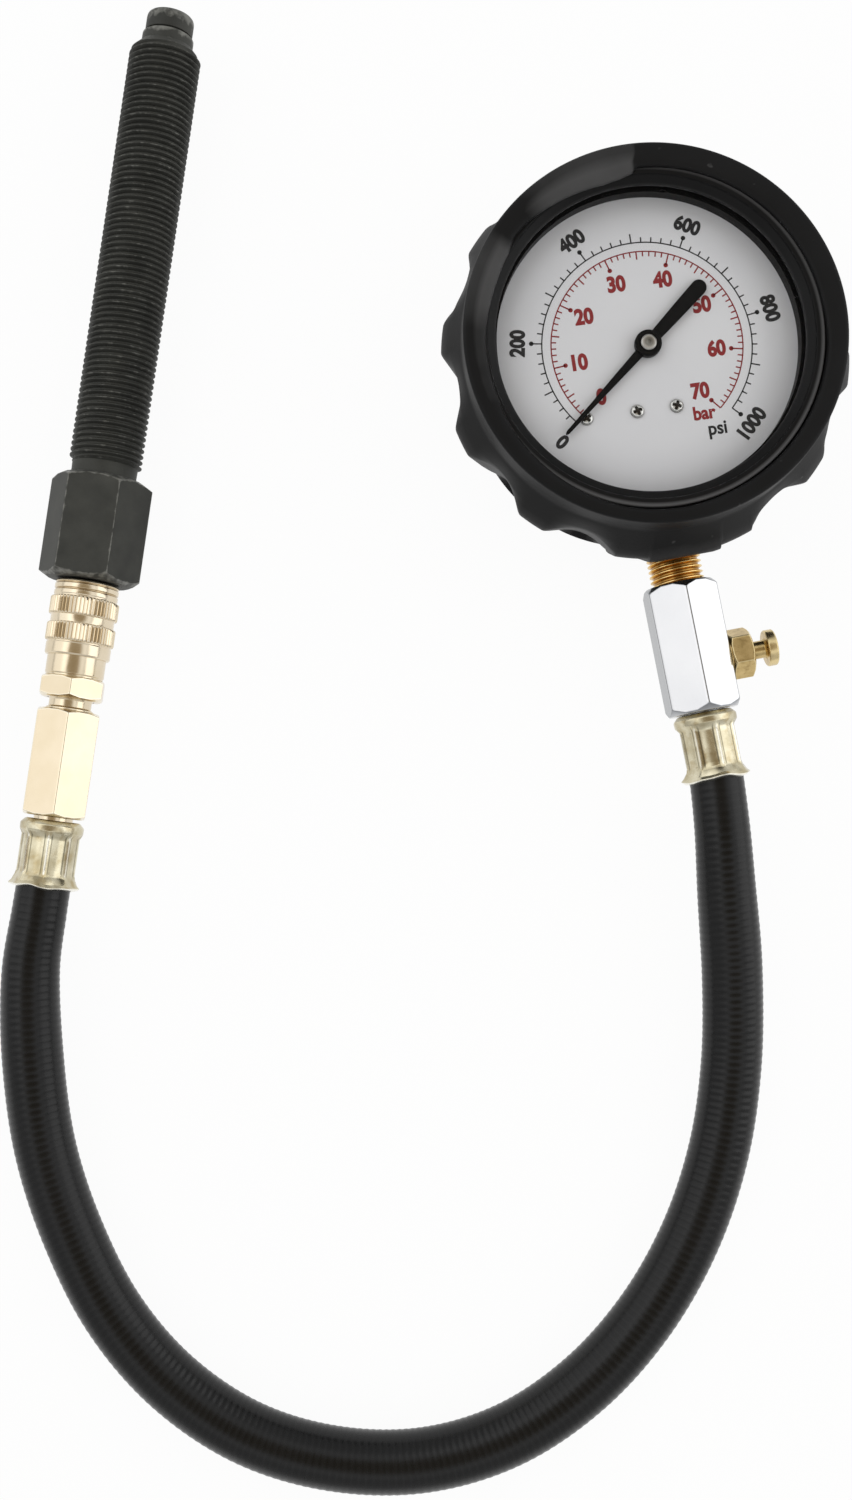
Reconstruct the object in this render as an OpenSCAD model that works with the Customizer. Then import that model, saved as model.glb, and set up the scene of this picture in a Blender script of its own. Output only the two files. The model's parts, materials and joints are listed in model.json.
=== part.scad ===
// Compression tester gauge: a dial gauge in a rubber boot, a valve block with a relief valve,
// a rubber hose, a quick coupler and a long threaded adapter for the engine.
// The gauge lies on its back. +Z is the dial's normal, the stem runs along -Y, and the origin is
// the middle of the boot's back face. Millimetres.

/* [Case] */
// Outer radius of the pressed gauge case
case_r = 39; // [37:0.5:43]
// Thickness of the case wall
case_wall = 0.8; // [0.6:0.1:1.2]
// Thickness of the case floor
case_floor = 1; // [0.8:0.1:1.5]
// Depth of the case from its back to its rim
case_h = 37.1; // [36:0.1:42]
// Distance of the case screws from the stem's plane
case_screw_x = 4; // [3:0.5:5]
// Radius of a case screw's shank
case_screw_r = 1.5; // [1:0.1:1.6]
// Radius of a case screw's head
case_screw_head_r = 2.6; // [2.2:0.1:3]
// Height of a case screw's head
case_screw_head_h = 1.4; // [1:0.1:1.6]
// Depth of a case screw in the socket's foot
case_screw_grip = 4; // [3:0.5:4.5]

/* [Window and bezel] */
// Thickness of the window
window_t = 2; // [1.5:0.1:3]
// Thickness of the gasket between window and bezel
gasket_t = 0.6; // [0.4:0.1:1]
// Thickness of the bezel's skirt
bezel_t = 1.3; // [0.8:0.1:2]
// Length of the skirt that grips the case
bezel_grip = 4; // [3:0.5:8]
// Height of the bezel over the gasket
bezel_rise = 2.1; // [1.6:0.1:3]
// Thickness of the bezel's inner edge
bezel_edge = 0.4; // [0.3:0.1:0.8]
// Width of the window's edge that the bezel covers
bezel_cover = 2.7; // [2:0.1:3.5]
// Width of the flat on top of the bezel
bezel_land = 1; // [0.6:0.1:1.4]

/* [Dial] */
// Depth of the dial's face below the case rim
dial_depth = 3.6; // [3.5:0.1:4.5]
// Thickness of the dial plate
dial_t = 1; // [0.6:0.1:1.2]
// Turn of the dial against the stem, clockwise
dial_turn = 2.3; // [0:0.1:4]
// Radius of the hole for the pointer's arbor
dial_hole_r = 2.6; // [2.2:0.1:3]
// Width of the black spacer ring on the dial's edge
spacer_w = 2.2; // [1.5:0.1:3]
// Half the distance between the two middle dial screws
dial_screw_x = 4.7; // [4:0.1:5.5]
// Distance of the dial screws below the centre
dial_screw_y = 15.3; // [14:0.1:16.5]
// Distance of the third dial screw to the left of the centre
dial_screw_left = 16.9; // [16:0.1:18]
// Radius of a dial screw's shank
dial_screw_r = 0.8; // [0.6:0.1:0.9]
// Radius of a dial screw's head
dial_screw_head_r = 1.3; // [1:0.1:1.6]
// Height of a dial screw's head
dial_screw_head_h = 0.8; // [0.5:0.1:0.9]

/* [Pointer] */
// Length of the pointer from its axis to its tip
pointer_len = 28.5; // [28:0.1:34]
// Length of the pointer's tail
pointer_tail = 18.6; // [12:0.1:22]
// Half the width of the pointer at its tip
pointer_tip_w = 0.5; // [0.2:0.05:0.5]
// Half the width of the pointer at its hub
pointer_root_w = 1; // [0.6:0.05:1.4]
// Half the width of the tail at the hub
tail_root_w = 1.2; // [0.8:0.05:1.6]
// Half the width of the tail at its round end
tail_end_w = 1.75; // [1.4:0.05:2.2]
// Thickness of the pointer's blade
pointer_t = 0.7; // [0.4:0.1:1]
// Height of the blade over the dial
pointer_lift = 1.1; // [1:0.1:1.3]
// Radius of the pointer's hub
pointer_hub_r = 3.2; // [2.6:0.1:4]
// Height of the hub's underside over the dial
hub_lift = 0.5; // [0.3:0.1:0.8]
// Height of the hub
hub_h = 2.1; // [1.9:0.1:2.3]
// Radius of the metal cap on the hub
cap_r = 1.85; // [1.4:0.05:2.2]
// Height of the metal cap
cap_h = 0.6; // [0.4:0.1:0.7]

/* [Movement] */
// Thickness of the movement's plates
plate_t = 1.4; // [1:0.1:1.6]
// Room between the movement's plates
plate_gap = 7.7; // [7.5:0.1:8.2]
// Width of the movement's plates
plate_w = 26; // [25:0.5:27]
// Reach of the plates above the centre
plate_top = 10; // [9:0.5:12]
// Module of the teeth
gear_module = 0.3; // [0.29:0.01:0.31]
// Teeth of the pinion
pinion_teeth = 12; // [12:1:12]
// Turns of the pointer for one turn of the sector
sector_ratio = 9; // [9:1:9]
// Thickness of the sector gear
sector_t = 1.2; // [0.8:0.1:1.4]
// Length of the sector's tail
sector_tail = 8; // [7.5:0.1:8.4]
// Radius of the pin in the tail
tail_pin_r = 0.6; // [0.5:0.05:0.7]
// Length of the link between the tail and the tube's tip
link_len = 32; // [31:0.5:33]
// Thickness of the link
link_t = 1; // [0.6:0.1:1.2]
// Half the width of the link and its eyes
link_w = 1.7; // [1.5:0.1:2]
// Width of the Bourdon tube's section, across the curve
tube_w = 4; // [3:0.5:5]
// Height of the Bourdon tube's section
tube_h = 9; // [8:0.5:10]
// Wall of the Bourdon tube
tube_wall = 0.6; // [0.4:0.1:0.8]
// Radius of the pillars between the plates
pillar_r = 1.6; // [1.4:0.1:2]
// Distance of the pillars from the stem's plane
pillar_x = 10.5; // [10:0.1:11]
// Distance of the upper pillars above the centre
pillar_top = 6; // [5:0.5:7]
// Radius of the movement screws' shanks
plate_screw_r = 0.9; // [0.7:0.1:1]
// Radius of the screws that hold the movement to the socket
socket_screw_r = 1.2; // [1:0.1:1.4]
// Distance of those screws from the stem's plane
socket_screw_x = 5; // [4.5:0.1:5.4]
// Turns of the hairspring
spring_turns = 5; // [4:1:6]
// Outer radius of the hairspring
hairspring_r = 6.5; // [6:0.1:7]
// Thickness of the hairspring's strip
hairspring_t = 0.24; // [0.15:0.01:0.3]

/* [Boot] */
// Thickness of the rubber behind the case
boot_floor = 3; // [2.6:0.1:5]
// Wall of the boot around the bezel
boot_wall = 5; // [3:0.1:6]
// Number of lobes around the boot
lobes = 12; // [12:4:16]
// Height of the lobes over the boot's rim
lobe_h = 4.6; // [3:0.1:6]
// Width of each lobe's outer flat, in degrees
lobe_flat = 10; // [8:0.5:12]
// Height of the lobes' upper edge over the table
lobe_top = 28; // [26:0.5:31]
// Height at which the lobes run out into the rim
lobe_end = 38; // [36:0.5:40]
// Thickness of the lip over the bezel
lip_t = 1.4; // [1:0.1:2]
// Width of the bezel's edge that the lip covers
lip_cover = 1.2; // [0.8:0.1:1.3]
// Rounding of the rim's outer edge
rim_round = 2.4; // [1.5:0.1:3]
// Bevel at the back of the lobes
back_bevel = 2; // [1:0.1:3]
// Amount by which the lobes draw in towards the back
back_taper = 6.6; // [0:0.1:7]
// Lean of the scallops towards the back, in degrees
scallop_lean = 12; // [0:0.5:13]
// Depth of the flat around the stem
stem_flat = 0.6; // [0.3:0.1:1]

/* [Stem and valve block] */
// Radius of the stem's thread
stem_r = 6.58; // [6:0.01:6.8]
// Length of stem that shows between boot and block
stem_show = 5; // [4:0.5:10]
// Length of stem inside the block
stem_grip = 7; // [6:0.5:8]
// Radius of the passage through the stem and the block
passage_r = 1.75; // [1.2:0.05:2]
// Half the width of the socket inside the case
socket_w = 9; // [8.5:0.1:9.5]
// Gap between the socket and the case wall
socket_gap = 2.2; // [1.8:0.1:3]
// Length of the socket along the stem
socket_len = 16; // [15:0.5:17]
// Depth of the stem's axis below the movement
stem_drop = 8; // [7.5:0.1:9]
// Depth of the socket below the stem's axis
socket_drop = 8; // [7:0.5:9]
// Half the width of the foot under the socket
foot_w = 7.5; // [7:0.1:8.5]
// Thickness of the sealing washer under the stem
washer_t = 1; // [0.6:0.1:1.5]
// Width of the valve block across its flats
block_af = 17; // [16:0.5:19]
// Length of the valve block
block_len = 32; // [31:0.5:38]
// Bevel of the block's corners at both ends
block_bevel = 1.1; // [0.6:0.1:1.4]
// Depth of the thread for the hose nipple
nipple_grip = 8; // [6:0.5:8]
// Radius of the thread on the hose nipple
nipple_thread_r = 5; // [4.5:0.1:5.2]

/* [Relief valve] */
// Distance of the relief valve from the block's upper end
relief_at = 19.4; // [18.5:0.1:19.6]
// Width of the relief valve across its flats
relief_af = 11; // [10:0.5:12]
// Length of the relief valve's hexagon
relief_len = 5.8; // [4.5:0.1:7]
// Bevel of the hexagon's outer corners
relief_bevel = 0.7; // [0.4:0.1:1]
// Turn of that hexagon about its axis
relief_roll = 24; // [0:1:30]
// Radius of the thread in the block
relief_thread_r = 4; // [3.8:0.1:4.2]
// Length of the thread in the block
relief_grip = 4.5; // [4:0.1:5]
// Depth of the spring's room behind the thread
spring_room = 2; // [1.5:0.1:2]
// Radius of the button's stem
button_r = 2.2; // [1.8:0.05:2.3]
// Radius of the button's head
button_head_r = 4.5; // [3.5:0.1:5.2]
// Thickness of the button's head
button_head_t = 2.4; // [2:0.1:4.5]
// Length of stem that shows between hexagon and head
button_show = 3.7; // [2.4:0.1:4]
// Radius of the valve disc on the button's inner end
disc_r = 2.9; // [2.7:0.05:3]
// Thickness of the valve disc
disc_t = 1.5; // [1:0.1:1.6]
// Thickness of the seal in front of the disc
relief_seal_t = 0.4; // [0.3:0.1:0.6]

/* [Hose and ferrules] */
// Outer radius of the hose
hose_r = 7.5; // [7:0.1:7.6]
// Radius of the hose where a ferrule squeezes it
hose_neck_r = 6; // [5.5:0.1:6]
// Sides of the hose's section
hose_sides = 10; // [8:1:12]
// Length of a ferrule
ferrule_len = 16.3; // [16:0.1:16.8]
// Radius of a ferrule's squeezed body
ferrule_r = 7.2; // [7:0.1:7.6]
// Radius of the round shoulder at a ferrule's closed end
shoulder_r = 7.7; // [7.4:0.1:8.2]
// Radius of a ferrule's flared mouth
mouth_r = 8.5; // [8.2:0.1:9]
// Length of the flare
mouth_len = 3.6; // [3:0.1:4]
// Thickness of a ferrule's wall
ferrule_wall = 1; // [0.7:0.1:1.1]
// Number of flutes that the press leaves
flutes = 8; // [6:1:10]
// Depth of a flute
flute_depth = 0.4; // [0.2:0.05:0.5]
// Gap between the valve block and its ferrule
block_ferrule_gap = 0.2; // [0.1:0.1:0.6]
// Gap between the hexagonal fitting and its ferrule
fitting_ferrule_gap = 0.8; // [0.5:0.1:2.4]
// Radius of a nipple inside the hose
nipple_r = 3.2; // [2.8:0.1:3.6]
// Length of a nipple inside its ferrule
nipple_len = 14; // [10:0.5:15]
// Radius of a nipple's neck in the ferrule's end
neck_r = 4.8; // [4:0.1:5]

/* [Coupler] */
// Gap between the adapter's hexagon and the sleeve
sleeve_gap = 0.5; // [0.3:0.1:1]
// Radius of the smooth ring at the sleeve's front
ring_r = 7.8; // [7.7:0.1:8]
// Length of the smooth ring
ring_len = 4.1; // [3.5:0.1:5]
// Radius of the knurled bands
knurl_r = 8.4; // [8.2:0.1:8.8]
// Length of each knurled band
knurl_len = 4.5; // [4:0.1:5]
// Depth of the knurling
knurl_depth = 0.3; // [0.1:0.05:0.35]
// Ridges around a knurled band
knurl_ridges = 60; // [48:4:72]
// Length of the groove between the bands
groove_len = 2; // [1.5:0.1:2.5]
// Length of the smooth band at the sleeve's rear
band_len = 3.5; // [3:0.1:4.5]
// Radius of the smooth band
band_r = 8; // [7.9:0.1:8.2]
// Radius of the coupler body's neck
body_neck_r = 7.2; // [7:0.05:7.3]
// Length of neck that shows behind the sleeve
neck_show = 5; // [4.5:0.1:7]
// Radius of the coupler body inside the sleeve
body_r = 6.2; // [6.1:0.05:6.3]
// Width of the coupler's hexagon across its flats
coupler_af = 15; // [14.5:0.1:17]
// Length of the coupler's hexagon
coupler_hex_len = 5.5; // [4:0.1:8]
// Turn of the coupler's hexagon about its axis
coupler_roll = 8; // [0:1:20]
// Radius of the threaded shank behind the hexagon
shank_r = 5.85; // [5.5:0.05:6]
// Length of shank that shows
shank_show = 2.8; // [1:0.1:4]
// Length of shank inside the fitting
shank_grip = 10; // [8:0.5:12]
// Width of the hexagonal hose fitting across its flats
fitting_af = 15; // [14.5:0.1:17]
// Length of the hexagonal hose fitting
fitting_len = 26.5; // [22:0.5:27.5]
// Turn of the hose fitting about its axis
fitting_roll = 11; // [0:1:20]
// Bevel of the brass hexagons' corners
brass_bevel = 0.8; // [0.4:0.1:1]
// Radius of a locking ball
ball_r = 1.2; // [1.1:0.05:1.25]
// Number of locking balls
balls = 4; // [3:1:6]
// Distance of the balls from the adapter's hexagon
ball_at = 5.4; // [5.2:0.1:5.6]
// Thickness of the retaining ring
retainer_t = 0.8; // [0.5:0.1:0.9]
// Width of the retaining ring
retainer_w = 1.1; // [0.8:0.05:1.15]
// Thickness of the coupler's seal
seal_t = 1; // [0.8:0.1:1.4]

/* [Adapter] */
// Distance of the adapter's hexagon to the left of the gauge
adapter_left = 143.5; // [142:0.1:144]
// Distance of the hexagon's lower face below the gauge's centre
adapter_low = 26.6; // [24.5:0.1:28]
// Turn of the adapter from the stem's direction, clockwise
adapter_turn = 18.3; // [18:0.1:18.6]
// Width of the adapter's hexagon across its flats
hex_af = 22; // [21.6:0.1:22.4]
// Length of the adapter's hexagon
hex_len = 26; // [20:0.5:30]
// Bevel of the hexagon's corners
hex_bevel = 1.3; // [0.8:0.1:1.6]
// Radius of the adapter's thread
thread_r = 9; // [8:0.1:10]
// Length of the plain relief between hexagon and thread
relief_w = 3.4; // [2:0.1:5]
// Radius of the plain relief
relief_neck_r = 8.1; // [7.5:0.1:8.5]
// Length of the thread
thread_len = 106.1; // [80:0.1:120]
// Distance from one thread to the next
thread_pitch = 1.5; // [1:0.25:2]
// Depth of the thread
thread_depth = 0.9; // [0.5:0.05:1]
// Width of the flat on a thread's crest
crest_w = 0.3; // [0.2:0.05:0.5]
// Length of the bevel at the thread's end
thread_bevel = 2.7; // [1.5:0.1:4]
// Radius of the collar on the nose
collar_r = 6.45; // [6:0.05:7]
// Length of the collar
collar_len = 2.5; // [1.5:0.1:4]
// Radius of the groove behind the nose's head
nose_groove_r = 5.5; // [5:0.05:5.7]
// Length of that groove
nose_groove_len = 0.6; // [0.4:0.1:1.2]
// Radius of the nose's head
nose_r = 5.95; // [5.8:0.05:6.4]
// Length of the nose's head
nose_len = 4.9; // [4:0.1:7]
// Rounding of the nose's front edge
nose_round = 1.3; // [0.8:0.1:2]
// Radius of the plug in the coupler
plug_r = 4.4; // [4.2:0.05:4.5]
// Length of the plug
plug_len = 14; // [12.5:0.1:14]
// Radius of the gas passage
adapter_bore_r = 2; // [1.5:0.05:2.1]

/* [Check valve] */
// Outer radius of the valve core in the nose
core_r = 2.6; // [2.5:0.05:2.8]
// Length of the valve core
core_len = 14; // [12:0.5:16]
// Depth of the valve core in the nose
core_drop = 1.5; // [0.8:0.1:2]
// Radius of the valve pin
pin_r = 0.6; // [0.5:0.05:0.65]
// Radius of the room for the pin's spring
core_room_r = 1.3; // [1.2:0.05:1.4]
// Length of the room for the pin's spring
core_room_len = 9; // [8:0.5:9.5]
// Radius of the sealing disc on the pin
pin_disc_r = 1.7; // [1.4:0.05:1.75]
// Thickness of the sealing disc
pin_disc_t = 1.5; // [1:0.1:2]

/* [Fits] */
// Gap between pieces that are pressed or slipped together
fit = 0.1; // [0.05:0.01:0.15]
// Gap between a shaft and the hole it runs in
running = 0.05; // [0.03:0.01:0.08]
// Gap in a screwed or soldered joint
joint_gap = 0.05; // [0.03:0.01:0.08]
// End play of the arbors
end_play = 0.1; // [0.05:0.01:0.15]

/* [Hidden] */

$fn = 96;
// Sides of a hexagon, and the turn that puts its corner upwards
hex_sides = 6;
corner_up = 30;
// Direction of the dial's zero
zero_angle = 221.2;
// Small length by which a cut runs past the face it opens
past = 0.5;

// Heights of the gauge's layers over the table
case_in_z = boot_floor + case_floor;
rim_z = boot_floor + case_h;
dial_top = rim_z - dial_depth;
dial_z = dial_top - dial_t;
front_z = dial_z - plate_t;
back_top = front_z - plate_gap;
back_z = back_top - plate_t;
window_top = rim_z + window_t;
flange_z = window_top + gasket_t;
bezel_top = flange_z + bezel_rise;
bezel_z = rim_z - bezel_grip;
boot_top = bezel_top + lip_t;
stem_z = back_z - stem_drop;

// Radii of the gauge's layers
case_in_r = case_r - case_wall;
bezel_r = case_r + fit + bezel_t;
bezel_in_r = case_r - bezel_cover;
window_r = case_r - fit;
dial_r = case_in_r - fit;
rim_r = bezel_r + boot_wall;
lobe_r = rim_r + lobe_h;
lip_r = bezel_r - lip_cover;
// Rubber left between a scallop and the rim
scallop_land = 0.25;
// Room around the stem in the boot and in the case
stem_room = 0.9;

// Socket's faces, and the screws and pillars that stand on it, as distances below the centre
socket_out = case_in_r - socket_gap;
socket_in = socket_out - socket_len;
plate_low = socket_out - socket_gap;
socket_screw_y = plate_low - 1.4 * socket_gap;
pillar_low = plate_low - 2.3 * socket_gap;
case_screw_y = pillar_low;

// Movement: pitch radii, pivots and levels
pinion_r = gear_module * pinion_teeth / 2;
sector_r = pinion_r * sector_ratio;
sector_teeth = pinion_teeth * sector_ratio;
gear_centres = pinion_r + sector_r;
// Share of its pitch that a tooth fills, and its height over and under the pitch circle in modules
tooth_share = 0.36;
addendum = 0.9;
dedendum = 1.2;
pressure_angle = 20;
// Swing of the sector for the pointer's whole sweep, and the teeth past each end of it
pointer_sweep = 270;
sector_swing = pointer_sweep / sector_ratio;
spare_teeth = 1.5;
// Direction in which the tube's tip pulls the link
pull_angle = 35;
tail_angle = pull_angle - 90 - sector_swing / 2;
sector_pivot = [0, -gear_centres];
tail_pin = sector_pivot + sector_tail * [cos(tail_angle), sin(tail_angle)];
// Half of the rise of the tail pin's arc over its chord, which the link's eye takes up as play
arc_play = sector_tail * (1 - cos(sector_swing / 2)) / 2;
link_eye = tail_pin + arc_play * [cos(pull_angle - 90), sin(pull_angle - 90)];
pin_play = 0.15;
eye_play = arc_play + pin_play;
tip_pivot = link_eye + link_len * [cos(pull_angle), sin(pull_angle)];
tube_r = norm(tip_pivot);
tip_angle = atan2(tip_pivot[1], tip_pivot[0]);
link_lift = 1.2;
link_z = back_top + link_lift;
link_clear = 0.4;
sector_z = link_z + link_t + link_clear;
pinion_spare = 0.6;
collet_r = 1.7;
collet_z = sector_z + sector_t + 2 * pinion_spare;
collet_h = 1.6;
arbor_r = 1.1;
pivot_r = 0.7;
arbor_top_r = 0.9;
stud_r = 0.6;
spring_inset = 0.2;

// Bourdon tube: start in the socket and overlaps at both ends, in degrees
tube_start = 262;
tip_half = 5;
tip_wrap = 2.5;
tip_wall = 1.2;

// Stem and block: distances along the stem from the gauge's axis
block_top = lobe_r + stem_show;
block_bot = block_top + block_len;
stem_end = block_top + stem_grip;
relief_y = block_top + relief_at;

// Coupler and adapter: distances along the adapter's axis from its hexagon's lower face
knurl1_u = -sleeve_gap - ring_len;
groove_u = knurl1_u - knurl_len;
knurl2_u = groove_u - groove_len;
band_u = knurl2_u - knurl_len;
sleeve_end = band_u - band_len;
coupler_hex_u = sleeve_end - neck_show;
shank_u = coupler_hex_u - coupler_hex_len;
fitting_u = shank_u - shank_show;
fitting_end = fitting_u - fitting_len;
ferrule_u = fitting_end - fitting_ferrule_gap;
thread_u = hex_len + relief_w;
bevel_u = thread_u + thread_len;
thread_turns = round((thread_len - crest_w) / thread_pitch);
thread_step = (thread_len - crest_w) / thread_turns;
collar_u = bevel_u + thread_bevel;
nose_groove_u = collar_u + collar_len;
nose_u = nose_groove_u + nose_groove_len;
tip_u = nose_u + nose_len;
// Inside of the sleeve: the land that holds the balls and the spring's room behind it
body_front = sleeve_gap + 3 * fit;
ball_land = 0.7;
land_front = ball_at - ball_r - ball_land;
land_len = 3.8;
land_back = land_front + land_len;
room_r = body_neck_r + running;
shoulder_inset = 0.9;
shoulder_u = band_u - shoulder_inset;
ball_groove_r = plug_r - ball_land;
first_ball = 45;
ball_ring_r = ball_groove_r + ball_r + running;
socket_depth = plug_len + seal_t + fit;
// Thickness of the collar on the valve pin
pin_collar = 0.8;

// Route of the hose from the valve block to the coupler: the first two and the last two points
// lie inside the ferrules
function on_line(u) = [u * sin(adapter_turn) - adapter_left, u * cos(adapter_turn) - adapter_low, hex_af / 2];
hose_start = block_bot + block_ferrule_gap + ferrule_wall;
hose_out = block_bot + block_ferrule_gap + ferrule_len;
hose_route = [
    [0, -hose_start, stem_z], [0, mouth_len - hose_out, stem_z], [0, -hose_out - past, stem_z],
    [0, -116, stem_z - past], [-0.5, -130, 14.5], [-3.5, -152, 11],
    [-8.5, -174, 8.5], [-16, -194.5, 7.6], [-27, -213.5, 7.5], [-41.5, -230, 7.5], [-59, -243, 7.5],
    [-79.5, -251.5, 7.5], [-101, -253.5, 7.5], [-122.5, -249, 7.5], [-142, -239, 7.5], [-158, -223.5, 7.5],
    [-169, -205, 7.5], [-175.5, -184, 7.6], [-178.5, -162.5, 8.2], [-177.5, -140, 9.4],
    [-174, -118.5, 10.6], [-169.5, -105, hex_af / 2], on_line(ferrule_u - ferrule_len - past),
    on_line(ferrule_u - ferrule_len + mouth_len), on_line(ferrule_u - ferrule_wall)];

// Placement of the groups: along the stem, on the relief valve's face and along the adapter
module on_stem() { translate([0, 0, stem_z]) rotate([90, 0, 0]) children(); }

module on_relief() { translate([block_af / 2, -relief_y, stem_z]) rotate([0, 90, 0]) children(); }

module on_adapter() {
    translate([-adapter_left, -adapter_low, hex_af / 2]) rotate([0, 0, -adapter_turn]) rotate([-90, 0, 0])
        children();
}

// Points of an arc in the plane
function arc(c, r, a0, a1, n) = [for (i = [0:n]) let (a = a0 + (a1 - a0) * i / n) c + r * [cos(a), sin(a)]];

// Ring from radius r0 to r1 between the heights z0 and z1
module ring(r0, r1, z0, z1) {
    translate([0, 0, z0]) difference() {
        cylinder(r = r1, h = z1 - z0);
        translate([0, 0, -past]) cylinder(r = r0, h = z1 - z0 + 2 * past);
    }
}

// Round bar between the heights z0 and z1
module bar(r, z0, z1) { translate([0, 0, z0]) cylinder(r = r, h = z1 - z0); }

// Hexagonal bar with bevelled corners, chosen by its width across flats
module hex_bar(af, z0, z1, bevel) {
    corner_r = af / sqrt(3);
    intersection() {
        translate([0, 0, z0]) cylinder(r = corner_r, h = z1 - z0, $fn = hex_sides);
        rotate_extrude() polygon([[0, z0], [corner_r - 2 * bevel, z0],
            [corner_r + bevel, z0 + bevel * sqrt(3)], [corner_r + bevel, z1 - bevel * sqrt(3)],
            [corner_r - 2 * bevel, z1], [0, z1]]);
    }
}

// Coil spring along Z, swept as one skin: mean radius, wire radius, height and turns
module coil(mean_r, wire_r, h, turns) {
    steps = turns * 24;
    sides = 6;
    rise = h - 2 * wire_r;
    points = [for (i = [0:steps], k = [0:sides - 1])
        let (a = 360 * turns * i / steps, b = 360 * k / sides, r = mean_r + wire_r * cos(b))
        [r * cos(a), r * sin(a), wire_r + rise * i / steps + wire_r * sin(b)]];
    faces = concat(
        [[for (k = [0:sides - 1]) k]],
        [for (i = [0:steps - 1], k = [0:sides - 1])
            let (n = (k + 1) % sides, p = i * sides, q = p + sides) [p + k, q + k, q + n, p + n]],
        [[for (k = [sides - 1:-1:0]) steps * sides + k]]);
    polyhedron(points, faces);
}

// Involute gear outline
function involute(a) = tan(a) * 180 / PI - a;
function tooth_half(r, pitch, teeth) =
    let (base = pitch * cos(pressure_angle), at = r > base ? involute(acos(base / r)) : 0)
    180 * tooth_share / teeth + involute(pressure_angle) - at;
function tooth(angle, pitch, teeth) =
    let (steps = 4, low = pitch - dedendum * gear_module, high = pitch + addendum * gear_module,
        radii = [for (i = [0:steps]) low + (high - low) * i / steps],
        halves = [for (r = radii) tooth_half(r, pitch, teeth)])
    concat(
        [for (i = [0:steps]) radii[i] * [cos(angle - halves[i]), sin(angle - halves[i])]],
        [for (i = [steps:-1:0]) radii[i] * [cos(angle + halves[i]), sin(angle + halves[i])]]);

// Places of the dial's screws, turned with the dial
function turned(p, a) = [p[0] * cos(a) - p[1] * sin(a), p[0] * sin(a) + p[1] * cos(a)];
dial_screw_places = [for (x = [-dial_screw_left, -dial_screw_x, dial_screw_x])
    turned([x, -dial_screw_y], -dial_turn)];

// Rubber boot: a turned cup with a lip, with scallops cut between its lobes
module rubber_boot() {
    half_gap = (360 / lobes - lobe_flat) / 2;
    valley_r = rim_r + scallop_land;
    back_r = lobe_r - back_taper;
    edge = lobe_r * [cos(half_gap), sin(half_gap)];
    deep = edge[0] - valley_r;
    scallop_r = (deep * deep + edge[1] * edge[1]) / (2 * deep);
    lip_edge = lip_t / 2;
    color("#232325") difference() {
        rotate_extrude() polygon(concat(
            [[0, 0], [back_r - back_bevel, 0], [back_r, back_bevel], [lobe_r, lobe_top], [rim_r, lobe_end]],
            arc([rim_r - rim_round, boot_top - rim_round], rim_round, 0, 90, 6),
            [[lip_r + lip_edge, boot_top], [lip_r, boot_top - lip_edge], [lip_r, bezel_top],
            [bezel_r + fit, bezel_top], [bezel_r + fit, bezel_z], [case_r + fit, bezel_z],
            [case_r + fit, boot_floor], [0, boot_floor]]));
        for (i = [0:lobes - 1]) if (i != lobes * 3 / 4)
            rotate([0, 0, 360 * i / lobes]) translate([valley_r + scallop_r, 0, lobe_top])
                rotate([0, scallop_lean, 0]) cylinder(r = scallop_r, h = 3 * boot_top, center = true);
        translate([-lobe_r, -lobe_r - past, -past]) cube([2 * lobe_r, stem_flat + past, boot_top + 2 * past]);
        on_stem() bar(stem_r + stem_room, socket_out, lobe_r + past);
        for (x = [-case_screw_x, case_screw_x]) translate([x, -case_screw_y, 0])
            bar(case_screw_head_r + 5 * fit, boot_floor - case_screw_head_h - fit, boot_floor + past);
    }
}

// Pressed steel cup of the gauge
module gauge_case() {
    color("#2a2a2c") difference() {
        bar(case_r, boot_floor, rim_z);
        bar(case_in_r, case_in_z, rim_z + past);
        on_stem() bar(stem_r + stem_room, socket_out, case_r + past);
        for (x = [-case_screw_x, case_screw_x]) translate([x, -case_screw_y, 0])
            bar(case_screw_r + fit, 0, case_in_z + past);
    }
}

// Screws through the case floor into the socket's foot
module case_screws() {
    slot = case_screw_head_r / 4;
    color("#b9bcc0") for (x = [-case_screw_x, case_screw_x]) translate([x, -case_screw_y, 0]) difference() {
        union() {
            bar(case_screw_head_r, boot_floor - case_screw_head_h, boot_floor);
            bar(case_screw_r, boot_floor, case_in_z + case_screw_grip);
        }
        translate([-case_screw_head_r, -slot / 2, boot_floor - case_screw_head_h - past])
            cube([2 * case_screw_head_r, slot, past + case_screw_head_h / 2]);
    }
}

// Bezel: a skirt around the case and a flange that slopes down to the window
module bezel_ring() {
    color("#1d1d1f") rotate_extrude() polygon([[case_r + fit, bezel_z], [bezel_r, bezel_z],
        [bezel_r, bezel_top], [bezel_r - lip_cover - bezel_land, bezel_top],
        [bezel_in_r, flange_z + bezel_edge], [bezel_in_r, flange_z], [case_r + fit, flange_z]]);
}

module window() { color([0.85, 0.9, 0.92, 0.3]) bar(window_r, rim_z, window_top); }

module window_gasket() { color("#151515") ring(bezel_in_r + fit, window_r, window_top, flange_z); }

module spacer_ring() { color("#161618") ring(dial_r - spacer_w, dial_r, dial_top, rim_z); }

// Dial plate with the arbor's hole and three screw holes
module dial_plate() {
    color("#dfe3e8") difference() {
        bar(dial_r, dial_z, dial_top);
        bar(dial_hole_r, dial_z - past, dial_top + past);
        for (p = dial_screw_places) translate(p) bar(dial_screw_r + fit, dial_z - past, dial_top + past);
    }
}

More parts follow.
